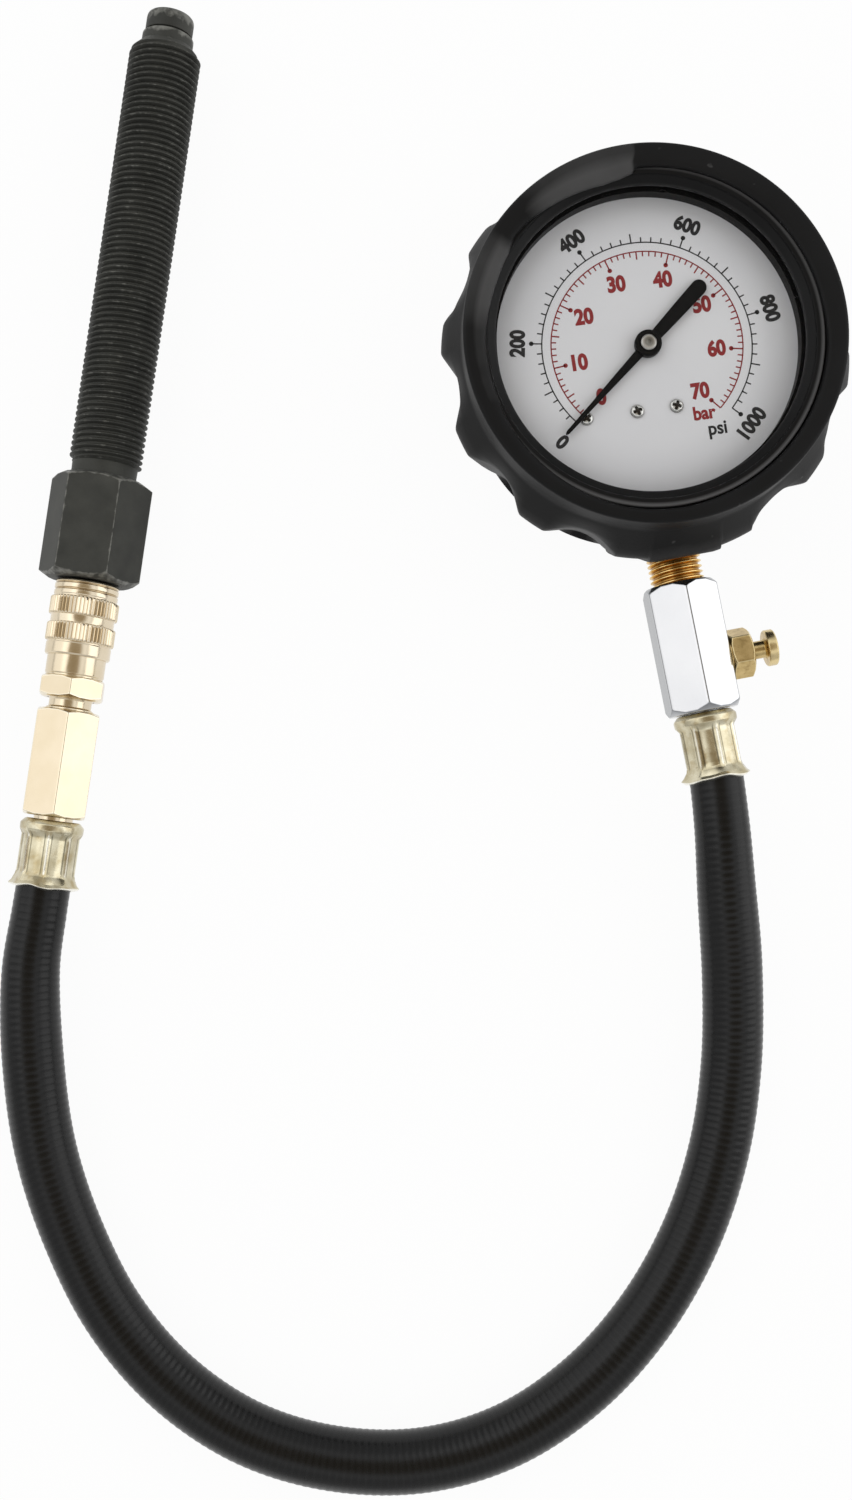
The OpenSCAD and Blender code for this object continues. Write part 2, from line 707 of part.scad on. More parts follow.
// Pan-head screws with a cross recess
module dial_screws() {
    cross = dial_screw_head_r / 3;
    color("#d8d8d4") for (p = dial_screw_places) translate(p) difference() {
        union() {
            bar(dial_screw_head_r, dial_top, dial_top + dial_screw_head_h);
            bar(dial_screw_r, front_z, dial_top);
        }
        for (a = [0, 90]) rotate([0, 0, a])
            translate([-dial_screw_head_r / 1.6, -cross / 2, dial_top + dial_screw_head_h / 2])
            cube([dial_screw_head_r * 1.25, cross, dial_screw_head_h]);
    }
}

// Pointer at zero: a tapered blade, a round hub and a widening tail with a round end
module pointer() {
    blade_z = dial_top + pointer_lift;
    tail_x = pointer_tail - tail_end_w;
    color("#101012") rotate([0, 0, zero_angle - dial_turn]) difference() {
        union() {
            translate([0, 0, blade_z]) linear_extrude(pointer_t) {
                polygon([[0, -pointer_root_w], [pointer_len, -pointer_tip_w], [pointer_len, pointer_tip_w],
                    [0, pointer_root_w]]);
                polygon([[0, tail_root_w], [-tail_x, tail_end_w], [-tail_x, -tail_end_w], [0, -tail_root_w]]);
                translate([-tail_x, 0]) circle(tail_end_w);
            }
            bar(pointer_hub_r, dial_top + hub_lift, dial_top + hub_lift + hub_h);
        }
        bar(arbor_top_r, dial_top, dial_top + hub_lift + hub_h + past);
    }
}

// Metal cap on the hub, with a dimple
module pointer_cap() {
    cap_z = dial_top + hub_lift + hub_h;
    dimple_r = cap_r / 4;
    color("#9a9a94") difference() {
        bar(cap_r, cap_z, cap_z + cap_h);
        translate([0, 0, cap_z + cap_h]) sphere(dimple_r);
    }
}

// Section of the Bourdon tube, grown by a margin
module tube_section(grow) {
    round_r = tube_w / 2 + grow;
    flat_h = tube_h - tube_w;
    translate([tube_r, 0]) {
        square([2 * round_r, flat_h], center = true);
        for (s = [-1, 1]) translate([0, s * flat_h / 2]) circle(round_r);
    }
}

// Stretch of the Bourdon tube between two directions
module tube_arc(a0, a1, grow) {
    translate([0, 0, stem_z]) rotate([0, 0, a0]) rotate_extrude(angle = a1 - a0) tube_section(grow);
}

// Brass socket and threaded stem, with a foot on the case floor and a pocket for the tube
module socket_stem() {
    low_z = stem_z - socket_drop;
    foot_y = socket_out - case_wall;
    color("#c9973f") difference() {
        union() {
            translate([-socket_w, -socket_out, low_z])
                cube([2 * socket_w, socket_out - socket_in, back_z - low_z]);
            translate([-foot_w, -foot_y, case_in_z])
                cube([2 * foot_w, foot_y - socket_in, low_z - case_in_z]);
            on_stem() bar(stem_r, socket_out - past, stem_end);
        }
        on_stem() bar(passage_r, socket_out - tube_w, stem_end + past);
        tube_arc(tip_angle, tube_start, joint_gap);
        for (x = [-case_screw_x, case_screw_x]) translate([x, -case_screw_y, 0])
            bar(case_screw_r + joint_gap, 0, case_in_z + case_screw_grip + fit);
        for (x = [-socket_screw_x, socket_screw_x]) translate([x, -socket_screw_y, 0])
            bar(socket_screw_r + joint_gap, back_z - 2 * plate_t - fit, back_z + past);
    }
}

// Flattened tube bent round the movement, from the socket to its free tip
module bourdon_tube() {
    color("#b98a4a") difference() {
        tube_arc(tip_angle + tip_half - tip_wrap, tube_start - 2 * joint_gap, 0);
        tube_arc(tip_angle, tube_start - tip_wrap, -tube_wall);
    }
}

// End piece on the tube, with a post and a pin for the link
module tube_tip() {
    tip_h = tube_h + 2 * tip_wall;
    color("#bd9150") {
        difference() {
            translate([0, 0, stem_z]) rotate([0, 0, tip_angle - tip_half])
                rotate_extrude(angle = 2 * tip_half) translate([tube_r, 0])
                square([tube_w + 2 * tip_wall, tip_h], center = true);
            tube_arc(tip_angle + tip_half - tip_wrap - 2 * joint_gap, tip_angle + 2 * tip_half, joint_gap);
        }
        translate(tip_pivot) {
            bar(link_w, stem_z + tip_h / 2, link_z);
            bar(tail_pin_r, link_z, link_z + link_t + link_clear);
        }
    }
}

// Link from the tube's tip to the sector's tail
module link_bar() {
    color("#c7a25c") difference() {
        translate([0, 0, link_z]) linear_extrude(link_t) {
            for (p = [link_eye, tip_pivot]) translate(p) circle(link_w);
            translate(link_eye) rotate(pull_angle) translate([0, -link_w / 2]) square([link_len, link_w]);
        }
        translate(link_eye) bar(tail_pin_r + eye_play, link_z - past, link_z + link_t + past);
        translate(tip_pivot) bar(tail_pin_r, link_z - past, link_z + link_t + past);
    }
}

// Sector gear: a toothed arc towards the pinion, a hub and a tail with the link's pin
module sector_gear() {
    pitch = 360 / sector_teeth;
    first = -ceil(sector_swing / pitch + spare_teeth);
    last = floor(spare_teeth);
    hub_r = 2 * arbor_r;
    tail_w = link_w;
    color("#cfa95f") translate(sector_pivot) {
        difference() {
            translate([0, 0, sector_z]) linear_extrude(sector_t) {
                polygon(concat([[0, 0]],
                    [for (i = [first:last], p = tooth(90 + (i + 0.5) * pitch, sector_r, sector_teeth)) p]));
                circle(hub_r);
                rotate(tail_angle) {
                    translate([0, -tail_w]) square([sector_tail, 2 * tail_w]);
                    translate([sector_tail, 0]) circle(tail_w);
                }
            }
            bar(arbor_r, sector_z - past, sector_z + sector_t + past);
        }
        translate(tail_pin - sector_pivot) bar(tail_pin_r, link_z - link_clear, sector_z);
    }
}

// Arbor of the sector, with a pivot in each plate
module sector_arbor() {
    color("#b7babf") translate(sector_pivot) {
        bar(arbor_r, back_top + end_play, front_z - end_play);
        bar(pivot_r, back_z + end_play, front_z + plate_t - end_play);
    }
}

// Pinion cut on the pointer's arbor, with the hairspring's collet and the seat for the pointer
module pinion_arbor() {
    low = sector_z - pinion_spare;
    high = sector_z + sector_t + pinion_spare;
    color("#b7babf") {
        translate([0, 0, low]) linear_extrude(high - low) polygon([for (i = [0:pinion_teeth - 1],
            p = tooth(-90 + 360 * i / pinion_teeth, pinion_r, pinion_teeth)) p]);
        bar(pivot_r, back_z + end_play, back_top + end_play);
        bar(arbor_r, back_top + end_play, low);
        bar(arbor_r, high, front_z - end_play);
        bar(collet_r, collet_z, collet_z + collet_h);
        bar(arbor_top_r, front_z - end_play, dial_top + hub_lift + hub_h);
    }
}

// Flat spiral spring that takes up the play of the teeth
module hairspring() {
    steps = 24 * spring_turns;
    start_r = collet_r + hairspring_t / 2 + end_play;
    half = hairspring_t / 2;
    function at(i, side) = let (a = 360 * spring_turns * i / steps,
        r = start_r + (hairspring_r - start_r) * i / steps + side * half) r * [cos(a), sin(a)];
    color("#8f9297") translate([0, 0, collet_z + spring_inset]) linear_extrude(collet_h - 2 * spring_inset)
        polygon(concat([for (i = [0:steps]) at(i, 1)], [for (i = [steps:-1:0]) at(i, -1)]));
}

// Post on the front plate that holds the hairspring's outer end
module hairspring_stud() {
    color("#c7a25c") translate([hairspring_r + hairspring_t / 2 + stud_r, 0, 0])
        bar(stud_r, collet_z, front_z);
}

pillar_places = [for (x = [-pillar_x, pillar_x], y = [-pillar_low, pillar_top]) [x, y]];

module movement_back_plate() {
    color("#c9a55a") difference() {
        translate([-plate_w / 2, -plate_low, back_z]) cube([plate_w, plate_low + plate_top, plate_t]);
        for (p = [[0, 0], sector_pivot]) translate(p) bar(pivot_r + running, back_z - past, back_top + past);
        for (p = pillar_places) translate(p) bar(plate_screw_r + joint_gap, back_z - past, back_top + past);
        for (x = [-socket_screw_x, socket_screw_x]) translate([x, -socket_screw_y, 0])
            bar(socket_screw_r + fit, back_z - past, back_top + past);
    }
}

// Front plate with a wing that carries the third dial screw
module movement_front_plate() {
    wing = dial_screw_left + 3 * dial_screw_head_r - plate_w / 2;
    wing_h = 6 * dial_screw_head_r;
    color("#c9a55a") difference() {
        union() {
            translate([-plate_w / 2, -plate_low, front_z]) cube([plate_w, plate_low + plate_top, plate_t]);
            translate([-plate_w / 2 - wing, -dial_screw_y - wing_h / 2, front_z])
                cube([wing + past, wing_h, plate_t]);
        }
        bar(arbor_top_r + running, front_z - past, dial_z + past);
        translate(sector_pivot) bar(pivot_r + running, front_z - past, dial_z + past);
        for (p = dial_screw_places) translate(p) bar(dial_screw_r + joint_gap, front_z - past, dial_z + past);
        for (p = pillar_places) translate(p) {
            bar(plate_screw_r + fit, front_z - past, dial_z + past);
            translate([0, 0, dial_z - plate_screw_r])
                cylinder(r1 = plate_screw_r + fit, r2 = 2 * plate_screw_r + fit, h = plate_screw_r);
        }
    }
}

// Pillars with a spigot in the back plate and a tapped upper end
module movement_pillars() {
    color("#c7a25c") for (p = pillar_places) translate(p) difference() {
        union() {
            bar(pillar_r, back_top, front_z);
            bar(plate_screw_r, back_z, back_top);
        }
        bar(plate_screw_r + joint_gap, front_z - 2 * plate_t, front_z + past);
    }
}

// Countersunk screws, flush with the front plate
module movement_screws() {
    color("#b9bcc0") for (p = pillar_places) translate(p) {
        bar(plate_screw_r, front_z - 2 * plate_t + fit, dial_z - plate_screw_r);
        translate([0, 0, dial_z - plate_screw_r])
            cylinder(r1 = plate_screw_r, r2 = 2 * plate_screw_r, h = plate_screw_r);
    }
}

// Cheese-head screws that hold the movement on the socket
module socket_screws() {
    head_r = 1.8 * socket_screw_r;
    head_h = 1.2 * socket_screw_r;
    slot = socket_screw_r / 2;
    color("#b9bcc0") for (x = [-socket_screw_x, socket_screw_x]) translate([x, -socket_screw_y, 0])
        difference() {
            union() {
                bar(head_r, back_top, back_top + head_h);
                bar(socket_screw_r, back_z - 2 * plate_t, back_top);
            }
            translate([-head_r, -slot / 2, back_top + head_h / 2]) cube([2 * head_r, slot, head_h]);
        }
}

module stem_washer() {
    color("#b0703c") on_stem() ring(passage_r, stem_r - fit, stem_end, stem_end + washer_t);
}

// Plated hexagonal block between stem, relief valve and hose, with a corner upwards
module valve_block() {
    color("#e6e7e8") difference() {
        on_stem() difference() {
            rotate([0, 0, corner_up]) hex_bar(block_af, block_top, block_bot, block_bevel);
            bar(stem_r + joint_gap, block_top - past, stem_end + washer_t);
            bar(passage_r, block_top, block_bot);
            bar(nipple_thread_r + joint_gap, block_bot - nipple_grip, block_bot + past);
        }
        on_relief() {
            bar(relief_thread_r + joint_gap, -relief_grip - spring_room, past);
            bar(passage_r, -block_af / 2, 0);
        }
    }
}

// Brass hexagon of the relief valve, with a seat for the seal inside
module relief_valve_body() {
    color("#a8873f") on_relief() difference() {
        union() {
            intersection() {
                rotate([0, 0, relief_roll]) hex_bar(relief_af, -relief_bevel * 2, relief_len, relief_bevel);
                bar(relief_af, 0, relief_len);
            }
            bar(relief_thread_r, -relief_grip, 0);
        }
        bar(button_r + running, -relief_grip - past, relief_len + past);
        bar(disc_r + 2 * fit, -relief_grip - past, -past);
    }
}

// Press button: head, stem and valve disc in one turned piece
module relief_button() {
    color("#b08d3c") on_relief() {
        bar(button_head_r, relief_len + button_show, relief_len + button_show + button_head_t);
        bar(button_r, -past - relief_seal_t - disc_t, relief_len + button_show);
        bar(disc_r, -past - relief_seal_t - disc_t, -past - relief_seal_t);
    }
}

module relief_seal() {
    color("#1a1a1a") on_relief() ring(button_r, disc_r, -past - relief_seal_t, -past);
}

// Spring between the block and the valve disc
module relief_spring() {
    low = -relief_grip - spring_room;
    high = -past - relief_seal_t - disc_t;
    wire = disc_r / 10;
    color("#8f9297") on_relief() translate([0, 0, low]) coil(disc_r - 2 * wire, wire, high - low, 4);
}

// Barbed nipple from z = 0 along +Z, inside a hose
module barbs() {
    barb = nipple_len / 5;
    bar(neck_r, 0, ferrule_wall + joint_gap);
    bar(nipple_r - 2 * fit, 0, nipple_len);
    for (i = [0:4]) translate([0, 0, i * barb]) cylinder(r1 = nipple_r, r2 = nipple_r - 2 * fit, h = barb);
}

module hose_nipple() {
    color("#b7babf") on_stem() difference() {
        union() {
            bar(nipple_thread_r, block_bot - nipple_grip + fit, block_bot);
            bar(neck_r, block_bot, block_bot + block_ferrule_gap);
            translate([0, 0, block_bot + block_ferrule_gap]) barbs();
        }
        bar(passage_r, block_bot - nipple_grip, block_bot + block_ferrule_gap + nipple_len + past);
    }
}

// Pressed ferrule from its closed end at z = 0 to its flared mouth
module ferrule() {
    shoulder = 2.6 * ferrule_wall;
    body = 3.8 * ferrule_wall;
    mouth_z = ferrule_len - mouth_len;
    in_r = hose_neck_r + fit;
    hole_r = neck_r + joint_gap;
    flute_r = ferrule_r;
    difference() {
        rotate_extrude() polygon([[hole_r, 0], [shoulder_r - ferrule_wall, 0], [shoulder_r, ferrule_wall],
            [shoulder_r, shoulder], [ferrule_r, body], [ferrule_r, mouth_z], [mouth_r, ferrule_len],
            [mouth_r - ferrule_wall / 2, ferrule_len], [in_r, mouth_z], [in_r, ferrule_wall],
            [hole_r, ferrule_wall]]);
        for (i = [0:flutes - 1]) rotate([0, 0, 360 * i / flutes])
            translate([ferrule_r - flute_depth + flute_r, 0, 0]) bar(flute_r, body - past, mouth_z + past);
    }
}

module gauge_ferrule() {
    color("#b9b07a") on_stem() translate([0, 0, block_bot + block_ferrule_gap]) ferrule();
}

module coupler_ferrule() {
    color("#b9b07a") on_adapter() translate([0, 0, ferrule_u]) rotate([180, 0, 0]) ferrule();
}

// Hose: one skin swept along its route, narrower inside the ferrules
module hose() {
    last = len(hose_route) - 1;
    function along(i) = let (d = hose_route[min(i + 1, last)] - hose_route[max(i - 1, 0)]) d / norm(d);
    function side(i) = let (s = cross(along(i), [0, 0, 1])) s / norm(s);
    function ring_r(i) = i < 2 || i > last - 2 ? hose_neck_r : hose_r;
    points = [for (i = [0:last], k = [0:hose_sides - 1]) let (a = 360 * (k + 0.5) / hose_sides + 90)
        hose_route[i] + ring_r(i) * (cos(a) * side(i) + sin(a) * cross(side(i), along(i)))];
    faces = concat(
        [[for (k = [hose_sides - 1:-1:0]) k]],
        [for (i = [0:last - 1], k = [0:hose_sides - 1])
            let (n = (k + 1) % hose_sides, p = i * hose_sides, q = p + hose_sides)
            [p + k, p + n, q + n, q + k]],
        [[for (k = [0:hose_sides - 1]) last * hose_sides + k]]);
    color("#1b1c1e") polyhedron(points, faces);
}

// Long brass hexagon with a thread for the coupler and a barbed nipple for the hose
module hose_hex_fitting() {
    color("#e3cf9f") on_adapter() difference() {
        union() {
            rotate([0, 0, corner_up + fitting_roll]) hex_bar(fitting_af, fitting_end, fitting_u, brass_bevel);
            bar(neck_r, ferrule_u, fitting_end);
            translate([0, 0, ferrule_u]) rotate([180, 0, 0]) barbs();
        }
        bar(shank_r + joint_gap, fitting_u - shank_grip - fit, fitting_u + past);
        bar(adapter_bore_r, ferrule_u - nipple_len - past, fitting_u);
    }
}

// Coupler body: a tube with holes for the balls, a neck, a hexagon and a threaded shank
module coupler_body() {
    retainer_u = -land_front + fit;
    color("#dcc48e") on_adapter() difference() {
        union() {
            bar(body_r, shoulder_u, -body_front);
            bar(body_neck_r, coupler_hex_u - past, shoulder_u);
            rotate([0, 0, corner_up + coupler_roll]) hex_bar(coupler_af, shank_u, coupler_hex_u, brass_bevel);
            bar(shank_r, fitting_u - shank_grip, shank_u + past);
        }
        bar(plug_r + running, -socket_depth, past);
        bar(adapter_bore_r, fitting_u - shank_grip - past, -socket_depth + past);
        ring(body_r - retainer_w / 2, body_r + past, retainer_u, retainer_u + retainer_t);
        for (i = [0:balls - 1]) translate([0, 0, -ball_at]) rotate([0, 0, first_ball + 360 * i / balls])
            rotate([0, 90, 0]) cylinder(r = ball_r + running, h = body_r + past);
    }
}

// Knurled band: a prism with straight ridges
module knurl(z0, z1) {
    translate([0, 0, z0]) linear_extrude(z1 - z0) polygon([for (i = [0:2 * knurl_ridges - 1])
        let (r = knurl_r - knurl_depth * (i % 2), a = 180 * i / knurl_ridges) r * [cos(a), sin(a)]]);
}

// Sliding sleeve with a smooth ring, two knurled bands and a rear skirt
module coupler_sleeve() {
    front = -sleeve_gap;
    edge = 0.5;
    color("#e0c995") on_adapter() difference() {
        union() {
            rotate_extrude() polygon([[0, sleeve_end], [band_r - edge, sleeve_end],
                [band_r, sleeve_end + edge], [band_r, band_u], [ring_r, band_u], [ring_r, front - edge],
                [ring_r - edge, front], [0, front]]);
            knurl(groove_u, knurl1_u);
            knurl(band_u, knurl2_u);
        }
        bar(body_r + running, sleeve_end - past, front + past);
        bar(body_r + retainer_w / 2 + fit, -land_front, front + past);
        bar(room_r, sleeve_end - past, -land_back);
    }
}

// Spring between the coupler body's shoulder and the sleeve's land
module sleeve_spring() {
    wire = (room_r - body_r) / 2 - fit;
    color("#8f9297") on_adapter() translate([0, 0, shoulder_u])
        coil((room_r + body_r) / 2, wire, -land_back - shoulder_u, 5);
}

// Open ring that keeps the sleeve on the body
module retaining_ring() {
    u = -land_front + fit;
    gap = 2 * retainer_w;
    color("#8f9297") on_adapter() difference() {
        ring(body_r - retainer_w / 2 + joint_gap, body_r + retainer_w / 2, u, u + retainer_t);
        translate([0, -gap / 2, u - past]) cube([body_r + retainer_w, gap, retainer_t + 2 * past]);
    }
}

module locking_balls() {
    color("#c8cacd") on_adapter() for (i = [0:balls - 1]) translate([0, 0, -ball_at])
        rotate([0, 0, first_ball + 360 * i / balls]) translate([ball_ring_r, 0, 0]) sphere(ball_r);
}

module coupler_seal() {
    color("#1a1a1a") on_adapter() ring(adapter_bore_r, plug_r - fit, -socket_depth, -socket_depth + seal_t);
}

// Adapter: hexagon, long thread cut as rings, nose and plug in one turned piece with a gas passage
module adapter() {
    groove_half = ball_r + 2 * fit;
    core_end = tip_u - core_drop - core_len - pin_disc_t - 2 * pin_disc_r;
    root_at = (crest_w + thread_step) / 2;
    thread_ridge = [[thread_r, 0], [thread_r, crest_w], [thread_r - thread_depth, root_at]];
    color("#34352f") on_adapter() difference() {
        union() {
            hex_bar(hex_af, 0, hex_len, hex_bevel);
            bar(relief_neck_r, hex_len, thread_u);
            rotate_extrude() polygon(concat([[0, thread_u]],
                [for (i = [0:thread_turns - 1], p = thread_ridge) p + [0, thread_u + i * thread_step]],
                [[thread_r, bevel_u - crest_w], [thread_r, bevel_u], [collar_r, collar_u],
                [collar_r, nose_groove_u], [nose_groove_r, nose_groove_u], [nose_groove_r, nose_u],
                [nose_r, nose_u]],
                arc([nose_r - nose_round, tip_u - nose_round], nose_round, 0, 90, 5), [[0, tip_u]]));
            bar(plug_r, -plug_len, 0);
        }
        ring(ball_groove_r, plug_r + past, -ball_at - groove_half, -ball_at + groove_half);
        bar(adapter_bore_r, -plug_len - past, tip_u);
        bar(core_r + joint_gap, core_end, tip_u + past);
    }
}

// Valve core screwed into the nose, with a room for the pin's spring
module check_valve_body() {
    top = tip_u - core_drop;
    color("#c9a55a") on_adapter() difference() {
        bar(core_r, top - core_len, top);
        bar(pin_r + running, top - core_len - past, top + past);
        bar(core_room_r, top - core_room_len, top + past);
    }
}

// Valve pin with a collar for its spring and a sealing disc under the core
module check_valve_pin() {
    top = tip_u - core_drop;
    color("#b7babf") on_adapter() {
        bar(pin_r, top - core_len - pin_disc_t, top);
        bar(core_room_r - 2 * fit, top - 2 * pin_collar, top - pin_collar);
        bar(pin_disc_r, top - core_len - pin_disc_t, top - core_len);
    }
}

module check_valve_spring() {
    top = tip_u - core_drop;
    low = top - core_room_len;
    wire = (core_room_r - pin_r) / 2 - fit;
    color("#8f9297") on_adapter() translate([0, 0, low])
        coil((core_room_r + pin_r) / 2, wire, core_room_len - 2 * pin_collar, 6);
}

rubber_boot();
gauge_case();
case_screws();
bezel_ring();
window();
window_gasket();
spacer_ring();
dial_plate();
dial_screws();
pointer();
pointer_cap();
socket_stem();
bourdon_tube();
tube_tip();
link_bar();
sector_gear();
sector_arbor();
pinion_arbor();
hairspring();
hairspring_stud();
movement_back_plate();
movement_front_plate();
movement_pillars();
movement_screws();
socket_screws();
stem_washer();
valve_block();
relief_valve_body();
relief_button();
relief_seal();
relief_spring();
hose_nipple();
gauge_ferrule();
hose();
coupler_ferrule();
hose_hex_fitting();
coupler_body();
coupler_sleeve();
sleeve_spring();
retaining_ring();
locking_balls();
coupler_seal();
adapter();
check_valve_body();
check_valve_pin();
check_valve_spring();
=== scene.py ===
"""Compression tester gauge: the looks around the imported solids."""
import json
import math

import bmesh
import bpy
import numpy as np
from mathutils import Matrix, Vector


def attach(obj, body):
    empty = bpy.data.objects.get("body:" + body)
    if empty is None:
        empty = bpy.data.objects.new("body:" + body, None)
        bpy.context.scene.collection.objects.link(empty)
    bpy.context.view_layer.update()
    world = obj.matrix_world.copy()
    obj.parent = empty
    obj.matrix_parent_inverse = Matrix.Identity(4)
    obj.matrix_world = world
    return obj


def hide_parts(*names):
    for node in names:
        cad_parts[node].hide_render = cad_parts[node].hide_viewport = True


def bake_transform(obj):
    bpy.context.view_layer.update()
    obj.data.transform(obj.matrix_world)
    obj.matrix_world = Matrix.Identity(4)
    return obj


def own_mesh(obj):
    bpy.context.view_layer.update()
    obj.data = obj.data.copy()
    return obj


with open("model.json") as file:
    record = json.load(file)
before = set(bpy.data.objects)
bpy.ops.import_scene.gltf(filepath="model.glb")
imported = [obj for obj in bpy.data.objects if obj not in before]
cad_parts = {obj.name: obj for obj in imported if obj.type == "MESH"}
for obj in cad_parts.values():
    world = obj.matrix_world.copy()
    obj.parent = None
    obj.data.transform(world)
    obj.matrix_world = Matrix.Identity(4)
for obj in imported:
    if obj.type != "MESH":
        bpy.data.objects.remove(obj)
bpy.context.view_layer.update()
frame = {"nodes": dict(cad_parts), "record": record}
MM = 0.001
TURN = 2 * math.pi

# Sizes of the gauge, in millimetres, as the solids have them
STEM_Z = 17.0
DIAL_TOP = 36.5
DIAL_TURN = math.radians(-2.3)
BLOCK_TOP, BLOCK_END, BLOCK_FACE = 55.0, 87.0, 8.5
RELIEF_Y = 74.4
FERRULE_START = 87.2
ADAPTER_AT = np.array([-143.5, -26.6, 11.0])
ADAPTER_TURN = math.radians(18.3)
FITTING_START, FITTING_END = -32.4, -58.9
COUPLER_FERRULE = -59.7
THREAD_START, THREAD_END = 29.4, 135.5
NOSE_END = 146.2


# Camera

# Fitted to the photo: turns in radians, place in millimetres, focal length in pixels
CAMERA_TURNS = ((-0.0602, "X"), (0.0179, "Y"), (0.1869, "Z"))
CAMERA_AWAY = (51.74, 93.63, -430.57)
FOCAL_PX, LONG_SIDE_PX = 1663.25, 1500
SENSOR = 36.0


def look():
    """Camera of the photograph: a high view, almost straight down on the dial."""
    turn = Matrix.Identity(3)
    for angle, axis in CAMERA_TURNS:
        turn = turn @ Matrix.Rotation(angle, 3, axis)
    back = turn.transposed()
    away = Vector(CAMERA_AWAY) * MM
    lens = bpy.data.cameras.new("photo_lens")
    lens.sensor_fit = "AUTO"
    lens.sensor_width = SENSOR
    lens.lens = SENSOR * FOCAL_PX / LONG_SIDE_PX
    lens.clip_start = 0.01
    eye = bpy.data.objects.new("photo_camera", lens)
    eye.matrix_world = Matrix.Translation(-(back @ away)) @ back.to_4x4()
    bpy.context.collection.objects.link(eye)
    bpy.context.scene.camera = eye


look()


# Shader maths

class Value:
    """A socket that takes part in sums: each operator adds a Math node."""

    def __init__(self, finish, socket):
        self.finish, self.socket = finish, socket

    def _sum(self, operation, a, b):
        return self.finish.node("ShaderNodeMath", {"operation": operation}, {0: a, 1: b})

    def __add__(self, other):
        return self._sum("ADD", self, other)

    def __radd__(self, other):
        return self._sum("ADD", other, self)

    def __sub__(self, other):
        return self._sum("SUBTRACT", self, other)

    def __mul__(self, other):
        return self._sum("MULTIPLY", self, other)

    def __rmul__(self, other):
        return self._sum("MULTIPLY", other, self)

    def __pow__(self, other):
        return self._sum("POWER", self, other)


class Finish:
    """A material and its nodes."""

    def __init__(self, name, tree=None):
        if tree is None:
            self.material = bpy.data.materials.new(name)
            self.material.use_nodes = True
            tree = self.material.node_tree
        self.tree = tree
        self.tree.nodes.clear()

    def node(self, kind, settings=None, inputs=None, out=0):
        made = self.tree.nodes.new(kind)
        for key, value in (settings or {}).items():
            if key == "stops":
                ramp = made.color_ramp.elements
                while len(ramp) < len(value):
                    ramp.new(0.5)
                for stop, (at, colour) in zip(ramp, value):
                    stop.position = at
                    stop.color = (*colour, 1)
            else:
                setattr(made, key, value)
        for key, value in (inputs or {}).items():
            if isinstance(value, Value):
                self.tree.links.new(value.socket, made.inputs[key])
            elif isinstance(value, tuple) and made.inputs[key].type == "RGBA":
                made.inputs[key].default_value = (*value, 1)
            else:
                made.inputs[key].default_value = value
        return Value(self, made.outputs[out]) if len(made.outputs) else None

    def place(self):
        return self.node("ShaderNodeTexCoord", out="Object")

    def noise(self, size, detail=2.0, roughness=0.5, stretch=None):
        at = self.place()
        if stretch:
            at = self.node("ShaderNodeMapping", None, {"Vector": at, "Scale": stretch})
        sockets = {"Vector": at, "Scale": 1 / (size * MM), "Detail": detail, "Roughness": roughness}
        return self.node("ShaderNodeTexNoise", None, sockets, "Fac")

    def mark(self):
        return self.node("ShaderNodeAttribute", {"attribute_name": "mark"}, None, "Fac")

    def between(self, value, low, high):
        """0 at low, 1 at high, held at the ends."""
        sockets = {"Value": value, "From Min": low, "From Max": high}
        return self.node("ShaderNodeMapRange", {"clamp": True}, sockets)

    def mix(self, share, first, second):
        return self.node("ShaderNodeMix", {"data_type": "RGBA"}, {0: share, 6: first, 7: second}, 2)

    def bump(self, height, depth, strength):
        sockets = {"Height": height, "Distance": depth * MM, "Strength": strength}
        return self.node("ShaderNodeBump", None, sockets)

    def shader(self, colour, rough, **more):
        sockets = {"Base Color": colour, "Roughness": rough}
        for key, value in more.items():
            sockets[key.replace("_", " ").title().replace("Ior", "IOR")] = value
        return self.node("ShaderNodeBsdfPrincipled", None, sockets)

    def show(self, shader):
        self.node("ShaderNodeOutputMaterial", None, {"Surface": shader})
        return self.material


def boot_rubber():
    f = Finish("boot_rubber")
    grain, cloud, dust = f.noise(0.5, 3), f.noise(14, 3), f.noise(2.2, 1)
    speck = f.between(dust, 0.73, 0.78) * f.between(cloud, 0.45, 0.6)
    worn = f.between(f.mark() + (cloud - 0.5) * 0.5, 0.2, 1.1)
    colour = f.mix(f.between(cloud, 0.3, 0.7), (0.0040, 0.0040, 0.0042), (0.0065, 0.0065, 0.0068))
    # worn mixes in a pale colour: a painted sheen on the rim and on the lip where it has crept inward, and
    # lighter rubber where the lobes stand out
    colour = f.mix(worn * 0.8, colour, (0.085, 0.085, 0.086))
    colour = f.mix(speck * 0.4, colour, (0.08, 0.08, 0.08))
    rough = 0.44 + 0.16 * cloud
    return f.show(f.shader(colour, rough, Normal=f.bump(grain, 0.05, 0.5), specular_ior_level=0.15))


def hose_rubber():
    f = Finish("hose_rubber")
    weave, cloud = f.noise(0.7, 2), f.noise(22, 3)
    colour = f.mix(f.between(cloud, 0.3, 0.7), (0.0016, 0.0017, 0.0019), (0.0032, 0.0033, 0.0036))
    colour = f.mix(f.between(f.mark(), 0.0, 1.0) * 0.5, colour, (0.009, 0.0092, 0.0096))
    rough = 0.2 + 0.1 * weave + 0.08 * cloud
    return f.show(f.shader(colour, rough, Normal=f.bump(weave, 0.04, 0.3), specular_ior_level=0.3))


